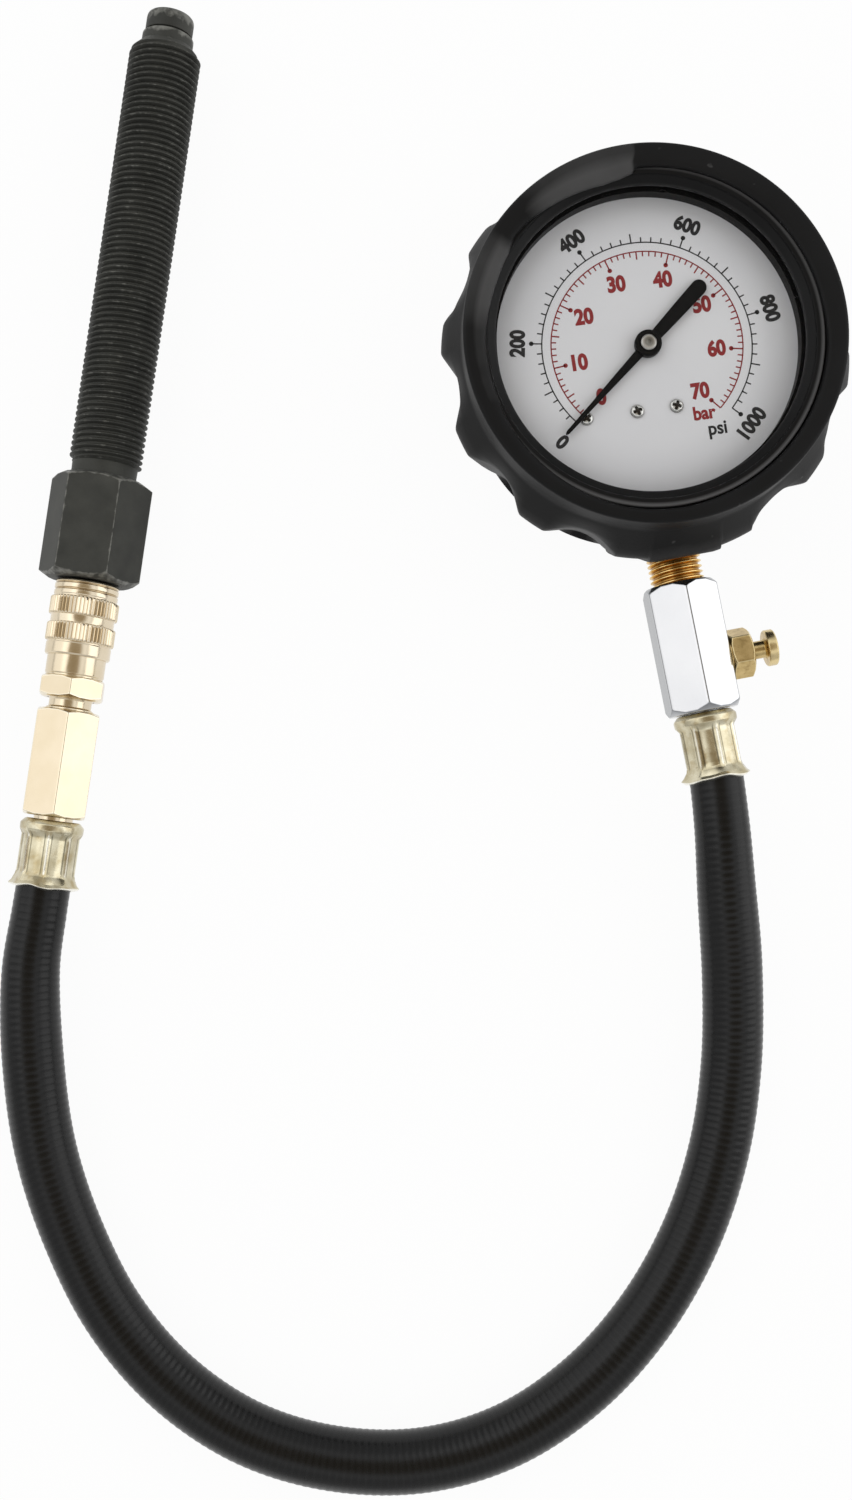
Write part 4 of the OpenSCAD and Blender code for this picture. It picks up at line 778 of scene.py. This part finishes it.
def make_print():
    """Black psi scale outside, red bar scale inside."""
    black, red = Print(), Print()
    per_psi, per_bar = SWEEP / PSI_FULL, SWEEP / BAR_FULL
    black.arc(ARC_START, ZERO_AT - SWEEP, PSI_R, ARC_WIDE)
    for psi in range(40, PSI_FULL + 1, 20):
        d = ZERO_AT - psi * per_psi
        if psi % 200 == 0:
            black.tick(d, PSI_R, 27.6, FINE_WIDE).dot(d, PSI_DOT_R, DOT_R)
        elif psi % 100 == 0:
            black.tick(d, PSI_R, 27.2, BOLD_WIDE)
        else:
            black.tick(d, PSI_R, 26.25, FINE_WIDE)
    for psi in range(0, PSI_FULL + 1, 200):
        d = min(ZERO_AT - psi * per_psi, PSI_WORD_FIRST)
        x, y = dial_at(PSI_WORD_R, d)
        up = d - 90 if psi < PSI_FULL else d + 90
        black.words(str(psi), x, y, math.radians(up) + DIAL_TURN, 3.8, 0.9, 0.05)
    red.arc(ARC_START, ZERO_AT - BAR_LAST * per_bar, BAR_R, ARC_WIDE)
    for bar in range(0, BAR_LAST + 1):
        d = min(ZERO_AT - bar * per_bar, BAR_FIRST)
        if bar % 10 == 0:
            x, y = dial_at(BAR_WORD_R, d)
            red.words(str(bar), x, y, DIAL_TURN, 4.1, 0.86, 0.05)
        if bar % 10 == 0 and bar:
            red.tick(d, BAR_DOT_R, BAR_R, BOLD_WIDE).dot(d, BAR_DOT_R, DOT_R)
        elif bar % 5 == 0 and bar:
            red.tick(d, 20.9, BAR_R, BOLD_WIDE)
        elif bar > 1:
            red.tick(d, 21.6, BAR_R, FINE_WIDE)
    x, y = dial_at(20.1, -56.8)
    red.words("bar", x, y, DIAL_TURN, 3.2, 0.9, 0.035)
    x, y = dial_at(24.8, -57.0)
    black.words("psi", x, y, DIAL_TURN, 3.2, 0.95, 0.025)
    black.build("dial_print_black", on_gauge, "gauge_body", "dial_white", INK_BLACK)
    red.build("dial_print_red", on_gauge, "gauge_body", "dial_white", INK_RED)


POINTER_HEIGHTS = (DIAL_TOP + 1.1, DIAL_TOP + 1.8)
POINTER_REST = math.radians(219.9) + DIAL_TURN
POINTER_TAIL, TAIL_HALF = 20.1, 1.85
# One edge of the blade: distance from the hub and half width
BLADE_EDGE = [(29.2, 0.2), (28.5, 0.45), (20, 0.58), (14, 0.78), (3, 1.1), (0, 1.2), (-3, 1.4), (-12, 1.72)]


def make_pointer():
    tail = POINTER_TAIL - TAIL_HALF
    plan = BLADE_EDGE + [(-tail + 0.3, TAIL_HALF)]
    around = np.linspace(0, math.pi, 15)
    end = [(-tail - TAIL_HALF * math.sin(a), TAIL_HALF * math.cos(a)) for a in around]
    outline = plan + end + [(x, -y) for x, y in reversed(plan)]
    c, s = math.cos(POINTER_REST), math.sin(POINTER_REST)
    flat = np.array([(x * c - y * s, x * s + y * c) for x, y in outline])
    blade = [np.column_stack([flat, np.full(len(flat), z)]) for z in POINTER_HEIGHTS]
    shape = Shape().rows(blade, None, True, True)
    hub = rounded([(0.95, 37.0), (3.2, 37.0, 0.2), (3.2, 39.1, 0.45), (2.1, 39.1, 0.15), (2.1, 38.9),
                   (0.95, 38.9)], 4)
    shape.turned(hub, 64)
    shape.build("pointer_blade", on_gauge, "pointer", "black_plastic", stands_for=("pointer",), bevel=0.1)
    cap = rounded([(0.02, 39.3), (0.42, 39.35, 0.1), (0.55, 39.72, 0.12), (1.5, 39.78, 0.3),
                   (1.9, 39.45, 0.2), (1.9, 39.1), (0.02, 39.1)], 4)
    marks = [0.8 if 1.3 < r < 1.9 and z > 39.4 else 0.0 for r, z in cap]
    Shape().turned(cap, 64, None, marks).build("pointer_cap_turned", on_gauge, "pointer", "screw_steel",
                                               CAP_METAL, stands_for=("pointer_cap",))


# Each dial screw: place on the dial and turn of its cross
DIAL_SCREWS = ((-16.9, -15.3, 0.5), (-4.7, -15.3, 0.25), (4.7, -15.3, 1.15))
SCREW_R, SCREW_DOME, CROSS_DEEP, SCREW_SIDES = 1.66, 0.85, 0.55, 64
SCREW_RINGS = (1.62, 1.66, 1.64, 1.56, 1.42, 1.26, 1.14, 1.02, 0.9, 0.78, 0.66, 0.54, 0.42, 0.3, 0.16, 0.04)


def make_dial_screws():
    shape = Shape()
    c, s = math.cos(DIAL_TURN), math.sin(DIAL_TURN)
    angle = np.arange(SCREW_SIDES) * TURN / SCREW_SIDES
    one = np.ones(SCREW_SIDES)
    for x, y, turn in DIAL_SCREWS:
        at = np.array([x * c - y * s, x * s + y * c])
        rows, marks = [], []
        for i, r in enumerate(SCREW_RINGS):
            arm = r * np.minimum(np.abs(np.cos(angle - turn)), np.abs(np.sin(angle - turn)))
            dome = SCREW_DOME * (1 - (r / SCREW_R) ** 2.6) ** 0.5
            cut = (1 - ease(arm, 0.26, 0.4)) * (1 - ease(r * one, 0.95, 1.12)) * CROSS_DEEP
            z = DIAL_TOP + 0.06 + np.maximum(dome - cut, 0.05 * (r < 1.6))
            if i == 0:
                z = DIAL_TOP * one
            rows.append(np.column_stack([at[0] + r * np.cos(angle), at[1] + r * np.sin(angle), z]))
            # The mark gives painted shade in the cross recess and around the head's edge
            marks.append(-cut / CROSS_DEEP - (r > 1.6))
        shape.rows(rows, marks, False, True)
    shape.build("dial_screw_heads", on_gauge, "gauge_body", "screw_steel", stands_for=("dial_screws",),
                sharp=60)


# Stem, valve block and relief valve

STEM_CREST, STEM_ROOT, STEM_PITCH = 6.58, 5.72, 1.337
SOCKET_END, STEM_START, STEM_END = 36, 40.0, 62.0


def make_stem():
    """Threaded stem, and the plain blocks of its socket inside the case."""
    shape = Shape()
    # Crests marked for a painted highlight, roots for painted shade
    shape.thread(STEM_CREST, STEM_ROOT, STEM_PITCH, STEM_START, STEM_END, 72, wear=0.7, root_shade=1.0)
    shape.turned([(1.75, SOCKET_END), (6.3, SOCKET_END), (6.3, STEM_START)], 48)
    before = len(shape.points)
    shape.block((-9, 20, -8), (9, SOCKET_END, 8)).block((-7.5, 20.8, -13), (7.5, 35.2, -8))
    for piece in shape.points[before:]:
        piece[:, [1, 2]] = piece[:, [2, 1]]
    shape.build("stem_threaded", on_stem, "gauge_body", "stem_brass", stands_for=("socket_stem",), weld=0.004)


BLOCK_BORES = (6.63, 4.9)


def make_block():
    # The side faces, corners and chamfers are marked for painted shade on this block
    shape = Shape().hexagon(2 * BLOCK_FACE, BLOCK_TOP, BLOCK_END, 0.75, math.pi / 2, 0.45, BLOCK_BORES,
                            slope=1.1, upright_shade=1.0)
    shape.build("block_hex", on_stem, "gauge_body", "block_plate", stands_for=("valve_block",), bevel=0.1)


RELIEF_ACROSS, RELIEF_TURN = 11, math.radians(24)


def make_relief_valve():
    body = Shape().hexagon(RELIEF_ACROSS, 0.35, 5.8, 0.55, RELIEF_TURN, 0.3, (3.9, 2.25))
    body.turned([(3.9, -4.5), (3.95, -4.4), (3.95, 0.0), (5.0, 0.05), (5.0, 0.4)], 48)
    body.build("relief_hex", on_relief, "gauge_body", "valve_brass", stands_for=("relief_valve_body",),
               bevel=0.08)
    button = rounded([(0.05, -2.4), (2.9, -2.4, 0.2), (2.9, -0.9, 0.2), (2.2, -0.9), (2.2, 9.0, 0.4),
                      (2.7, 9.5, 0.2), (4.25, 9.5, 0.2), (4.5, 9.75, 0.2), (4.5, 11.6, 0.25),
                      (4.2, 11.9, 0.25), (0.05, 11.9)], 4)
    marks = [0.8 if r > 4.2 and z > 9.4 else 0.0 for r, z in button]
    shape = Shape().turned(button, 72, None, marks)
    shape.build("relief_button_turned", on_relief, "relief_press_button", "valve_brass",
                stands_for=("relief_button",))


# Ferrules, fittings and coupler

FLUTES, FLUTE_TURN, FLUTE_DEEP = 8, 0.18, 0.62
FERRULE_SIDES, FERRULE_SKIN = 480, 7.0
# Heights between which the flutes begin and end, and the flare and its lip begin
FLUTE_IN, FLUTE_OUT = (2.4, 4.4), (12.8, 15.0)
FLARE_RUN, UNEVEN_RUN, LIP_RUN = (13.0, 16.0), (13.5, 16.2), (15.8, 16.3)


def make_ferrule(name, node, place, seed):
    """Crimped ferrule: flutes pressed into its side and an uneven flare at the hose."""
    profile = rounded([(4.85, 1.0), (4.85, 0.0, 0.2), (6.6, 0.0, 0.9), (7.75, 1.2, 0.8), (7.7, 2.7, 0.9),
                       (7.1, 4.0, 0.8)], 5)
    profile += [(7.12, z) for z in np.linspace(4.8, 12.2, 16)]
    profile += rounded([(7.14, 13.0), (7.25, 13.9, 0.5), (7.75, 15.4, 0.6), (8.5, 16.15, 0.25),
                        (8.0, 16.45, 0.3), (6.75, 16.8, 0.1), (6.6, 13.0)], 5)
    profile += [(6.1, 11.0), (6.1, 1.0)]
    rng = np.random.default_rng(seed)
    sway = rng.uniform(-0.05, 0.05, FLUTES)

    def reach(r, z, angle):
        if r <= FERRULE_SKIN:
            return np.full(len(angle), float(r))
        high = np.full(len(angle), z)
        place_in = angle * FLUTES / TURN + FLUTE_TURN
        share = place_in % 1.0 - 0.5
        which = np.floor(place_in).astype(int) % FLUTES
        flute = (FLUTE_DEEP + sway[which] * 2) * (1 - np.abs(2 * share) ** 4)
        fade = ease(high, *FLUTE_IN) * (1 - ease(high, *FLUTE_OUT))
        wave = 0.28 * np.cos(8 * angle + 0.6) + 0.14 * np.cos(3 * angle + seed)
        return r - (flute * fade - ease(high, *FLARE_RUN) * wave)

    shape = Shape().turned(profile, FERRULE_SIDES, reach)
    for row, (r, z) in enumerate(profile):
        points = shape.points[row]
        angle = np.arctan2(points[:, 1], points[:, 0])
        high = np.full(len(points), z)
        uneven = 0.22 * np.cos(4 * angle + seed) + 0.12 * np.cos(7 * angle + 2 * seed)
        points[:, 2] += ease(high, *UNEVEN_RUN) * uneven
        # The mark: a painted highlight on the lip and on the ridges, painted shade in thin lines beside the
        # ridges
        edge = ease(high, *LIP_RUN)
        share = (angle * FLUTES / TURN + FLUTE_TURN) % 1.0
        beside = np.minimum(share, 1 - share)
        groove = np.maximum(1 - np.abs(beside - 0.16) / 0.06, 0)
        ridge_light_and_shade = np.maximum(1 - beside / 0.1, 0) - 0.9 * groove
        fluted = 3.2 < z < 13.2 and r > 6.6
        shape.marks[row] = np.where(edge > 0, edge, ridge_light_and_shade * fluted)
    shape.build(name, place, "gauge_body", "ferrule_zinc", stands_for=(node,), sharp=44)


def down_stem(p):
    return on_stem(p + np.array([0, 0, FERRULE_START]))


def down_coupler(p):
    return on_adapter(np.stack([p[:, 0], -p[:, 1], COUPLER_FERRULE - p[:, 2]], 1))


COUPLER_ACROSS = 15
FITTING_TURN, COUPLER_TURN = math.pi / 2 + math.radians(11), math.pi / 2 + math.radians(8)


def make_fitting():
    shape = Shape().hexagon(COUPLER_ACROSS, FITTING_END, FITTING_START, 0.8, FITTING_TURN, 0.3, (4.8, 5.9))
    shape.turned([(4.8, FITTING_END + 0.05), (4.75, -59.3), (4.8, COUPLER_FERRULE), (4.8, -60.7),
                  (3.1, -60.7), (3.0, -73.6), (2.0, -73.6)], 48)
    shape.build("fitting_hex", on_adapter, "gauge_body", "pale_brass", stands_for=("hose_hex_fitting",),
                bevel=0.1)


def make_coupler():
    body = Shape().hexagon(COUPLER_ACROSS, -29.6, -24.1, 0.8, COUPLER_TURN, 0.3, (5.8, 7.1))
    neck = rounded([(2.0, -0.8), (4.45, -0.8), (6.0, -0.8, 0.2), (6.2, -1.1, 0.1), (6.2, -16.5),
                    (7.2, -16.5, 0.15), (7.2, -23.5), (7.0, -23.8, 0.1), (7.05, -24.2)], 3)
    body.turned(neck, 96)
    body.turned([(5.5, -29.5), (5.2, -30.0), (5.2, -31.6), (5.75, -32.0), (5.85, -32.5), (5.85, -42.4),
                 (2.0, -42.4)], 96)
    body.build("coupler_body_turned", on_adapter, "gauge_body", "pale_brass", stands_for=("coupler_body",),
               bevel=0.08)


KNURLS, KNURL_SIDES, KNURL_DEEP = 54, 540, 0.3
KNURL_R, KNURL_FROM = 8.42, 8.2


def make_sleeve():
    """Sliding sleeve with two knurled bands."""
    profile = rounded([(7.2, -19.1), (7.7, -19.1, 0.15), (7.98, -18.7, 0.2), (7.98, -17.4),
                       (7.98, -16.2, 0.1), (7.85, -15.95, 0.1), (7.85, -15.7), (8.05, -15.65, 0.1)], 3)
    profile += [(8.3, -15.45)] + [(KNURL_R, z) for z in (-15.2, -14.6, -13.3, -12.0, -11.5)] + [(8.3, -11.25)]
    profile += rounded([(8.05, -11.1), (7.8, -11.05, 0.1), (7.78, -10.1), (7.8, -9.15, 0.1), (8.05, -9.1)], 3)
    profile += [(8.3, -8.95)] + [(KNURL_R, z) for z in (-8.7, -8.0, -6.8, -5.6, -5.0)] + [(8.3, -4.75)]
    profile += rounded([(8.05, -4.6), (7.75, -4.55, 0.1), (7.7, -4.2), (7.84, -4.0, 0.1), (7.84, -3.1, 0.1),
                        (7.6, -2.95, 0.08), (7.6, -2.65, 0.08), (7.84, -2.5, 0.1), (7.84, -1.5, 0.1),
                        (7.6, -1.35, 0.08), (7.6, -1.1, 0.08), (7.8, -0.95, 0.1), (7.7, -0.5, 0.15),
                        (6.95, -0.5), (6.95, -3.4), (6.27, -3.4), (6.27, -7.3), (7.2, -7.3), (7.2, -19.1)], 3)

    def groove(angle):
        return np.abs((angle * KNURLS / TURN) % 1.0 - 0.5) * 2

    def knurl(r, z, angle):
        return r - KNURL_DEEP * groove(angle) * (r >= KNURL_FROM)

    # The knurl's mark: lighter on the ridge tops, painted shade in the valleys; the slots get painted shade
    # too
    worn = 0.45 - 1.4 * groove(np.arange(KNURL_SIDES) * TURN / KNURL_SIDES) ** 2
    marks = []
    for r, z in profile:
        in_slot = r < 7.65 and z > -4.4
        marks.append(worn if r > KNURL_FROM else -0.7 * in_slot)
    shape = Shape().turned(profile, KNURL_SIDES, knurl, marks)
    shape.build("coupler_sleeve_knurled", on_adapter, "sleeve", "pale_brass", stands_for=("coupler_sleeve",),
                sharp=48)


# Adapter

ADAPTER_ACROSS, ADAPTER_HEX = 22, 26.0
THREAD_CREST, THREAD_ROOT, THREAD_PITCH, THREAD_FADE = 9.0, 8.02, 1.5, 2.4
THREAD_NECK, RISE_RATE, FALL_RATE = 8.05, 1.3, 0.9


def thread_limit(z):
    """Radius that the thread keeps within, so that it fades out at both ends."""
    rise = THREAD_NECK + np.maximum(z - THREAD_START, 0) * RISE_RATE
    fall = THREAD_CREST - np.maximum(z - THREAD_END, 0) * FALL_RATE
    return np.minimum(rise, fall)


def make_adapter():
    shape = Shape().hexagon(ADAPTER_ACROSS, 0.0, ADAPTER_HEX, 1.3, 0.0, 0.45, (2.0, 8.1), 0.55)
    plug = rounded([(2.0, -14), (4.1, -14, 0.2), (4.4, -13.6), (4.4, -6.8), (3.7, -6.6), (3.7, -4.2),
                    (4.4, -4.0), (4.4, 0.1)], 3)
    shape.turned(plug, 64)
    neck = rounded([(8.9, 25.9), (8.2, 26.4, 0.4), (8.05, 27.5), (8.1, 29.0, 0.3),
                    (8.1, THREAD_START + 0.8)], 4)
    shape.turned(neck, 96)
    shape.thread(THREAD_CREST, THREAD_ROOT, THREAD_PITCH, THREAD_START, THREAD_END + THREAD_FADE, 96,
                 thread_limit, wear=0.5)
    nose = rounded([(7.6, 134.9), (7.4, 136.7), (6.6, 138.0, 0.3), (6.45, 138.3, 0.2), (6.45, 140.7, 0.25),
                    (5.55, 140.75, 0.15), (5.5, 141.0), (5.55, 141.25, 0.1), (5.95, 141.3, 0.25),
                    (5.95, NOSE_END, 1.5), (3.1, NOSE_END, 0.3), (2.7, 145.5), (2.65, 134.7), (2.0, 134.7),
                    (2.0, -14.0)], 5)
    marks = []
    for r, z in nose:
        worn = (5.6 < r < 6.0 and z > 144.7) or (6.2 < r < 6.6 and z > 140.1)
        marks.append(0.9 * worn)
    shape.turned(nose, 96, None, marks)
    shape.build("adapter_turned", on_adapter, "engine_adapter", "black_oxide", stands_for=("adapter",),
                sharp=32, weld=0.003)


# Springs and the Bourdon tube, copied from their solids; the springs ride on their bodies

ALONG_ADAPTER = (-math.sin(ADAPTER_TURN), -math.cos(ADAPTER_TURN), 0.0)
# Each coil: solid, body, joint, direction it is pressed in and travel
SPRINGS = (("relief_spring", "gauge_body", "relief_press", (-1.0, 0.0, 0.0), 2.0),
           ("sleeve_spring", "gauge_body", "sleeve_slide", ALONG_ADAPTER, 3.5),
           ("check_valve_spring", "engine_adapter", "valve_pin_press", ALONG_ADAPTER, 1.0))


def solid_copy(node, name):
    """The solid's own mesh as a piece of the scene."""
    solid = frame["nodes"][node]
    held_slot = next(sub["material_slot"] for sub in frame["record"]["subparts"] if sub["node"] == node)
    piece = bpy.data.objects.new(name, solid.data.copy())
    piece.matrix_world = solid.matrix_world
    bpy.context.collection.objects.link(piece)
    piece.data.materials.clear()
    piece.data.materials.append(FINISHES[held_slot])
    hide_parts(node)
    return piece


def make_springs():
    for node, body, joint, push, travel in SPRINGS:
        coil = solid_copy(node, node + "_coil")
        points = np.array([coil.matrix_world @ v.co for v in coil.data.vertices])
        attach(coil, body)
        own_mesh(coil)


def make_tube():
    tube = solid_copy("bourdon_tube", "bourdon_tube_bending")
    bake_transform(tube)


make_boot()
make_bezel()
make_print()
make_pointer()
make_dial_screws()
make_stem()
make_block()
make_relief_valve()
make_ferrule("ferrule_gauge_end", "gauge_ferrule", down_stem, 3)
make_ferrule("ferrule_coupler_end", "coupler_ferrule", down_coupler, 8)
make_fitting()
make_coupler()
make_sleeve()
make_adapter()
make_springs()
make_tube()


# Floor, light and world

FLOOR_RAYS = ("Is Camera Ray", "Is Glossy Ray", "Is Transmission Ray")
FLOOR_HALF, FLOOR_DROP, FLOOR_GLOW = 6, 0.0003, 0.95


def make_floor():
    """Table that looks white to the camera and in reflections, and takes light as a matte surface."""
    f = Finish("floor_white")
    camera, glossy, through = [f.node("ShaderNodeLightPath", None, None, ray) for ray in FLOOR_RAYS]
    seen = f.between(camera + glossy + through, 0.0, 1.0)
    matte = f.node("ShaderNodeBsdfDiffuse", None, {"Color": (0.86, 0.86, 0.86)})
    glow = f.node("ShaderNodeEmission", None, {"Color": (1.0, 1.0, 1.0), "Strength": 1.0})
    f.show(f.node("ShaderNodeMixShader", None, {0: seen * FLOOR_GLOW, 1: matte, 2: glow}))
    mesh = bpy.data.meshes.new("floor")
    corners = [(x * FLOOR_HALF, y * FLOOR_HALF, 0) for x, y in ((-1, -1), (1, -1), (1, 1), (-1, 1))]
    mesh.from_pydata(corners, [], [(0, 1, 2, 3)])
    mesh.materials.append(f.material)
    floor = bpy.data.objects.new("floor", mesh)
    floor.location.z = -FLOOR_DROP
    bpy.context.collection.objects.link(floor)


LIGHT_AIM = (-0.05, -0.05, 0)


def make_light(name, at, size, power):
    lamp = bpy.data.lights.new(name, "AREA")
    lamp.shape = "RECTANGLE"
    lamp.size, lamp.size_y = size
    lamp.energy = power
    thing = bpy.data.objects.new(name, lamp)
    thing.location = at
    thing.rotation_euler = (Vector(LIGHT_AIM) - Vector(at)).to_track_quat("-Z", "Y").to_euler()
    bpy.context.collection.objects.link(thing)


# Brightness of the room by height, from the horizon to the zenith
SKY = [(0.0, (0.6, 0.6, 0.6)), (0.65, (0.68, 0.68, 0.68)), (0.8, (1.15, 1.15, 1.15)),
       (0.88, (0.95, 0.95, 0.95)), (0.945, (0.38, 0.31, 0.21)), (1.0, (0.34, 0.275, 0.185))]


def make_world():
    world = bpy.data.worlds.new("studio")
    world.use_nodes = True
    f = Finish("studio", world.node_tree)
    way = f.node("ShaderNodeTexCoord", None, None, "Generated")
    up = f.node("ShaderNodeSeparateXYZ", None, {0: way}, "Z")
    level = f.node("ShaderNodeValToRGB", {"stops": SKY}, {0: up})
    seen = f.node("ShaderNodeLightPath", None, None, "Is Camera Ray")
    colour = f.mix(seen, level, (1.0, 1.0, 1.0))
    back = f.node("ShaderNodeBackground", None, {"Color": colour, "Strength": 1.0})
    f.node("ShaderNodeOutputWorld", None, {"Surface": back})
    bpy.context.scene.world = world


make_floor()
make_world()
make_light("key_upper_left", (-0.85, 0.5, 0.72), (1.3, 1.3), 3.1)
make_light("fill_right", (0.95, -0.1, 0.45), (1.2, 0.8), 3.2)
bpy.context.scene.view_settings.view_transform = "Standard"
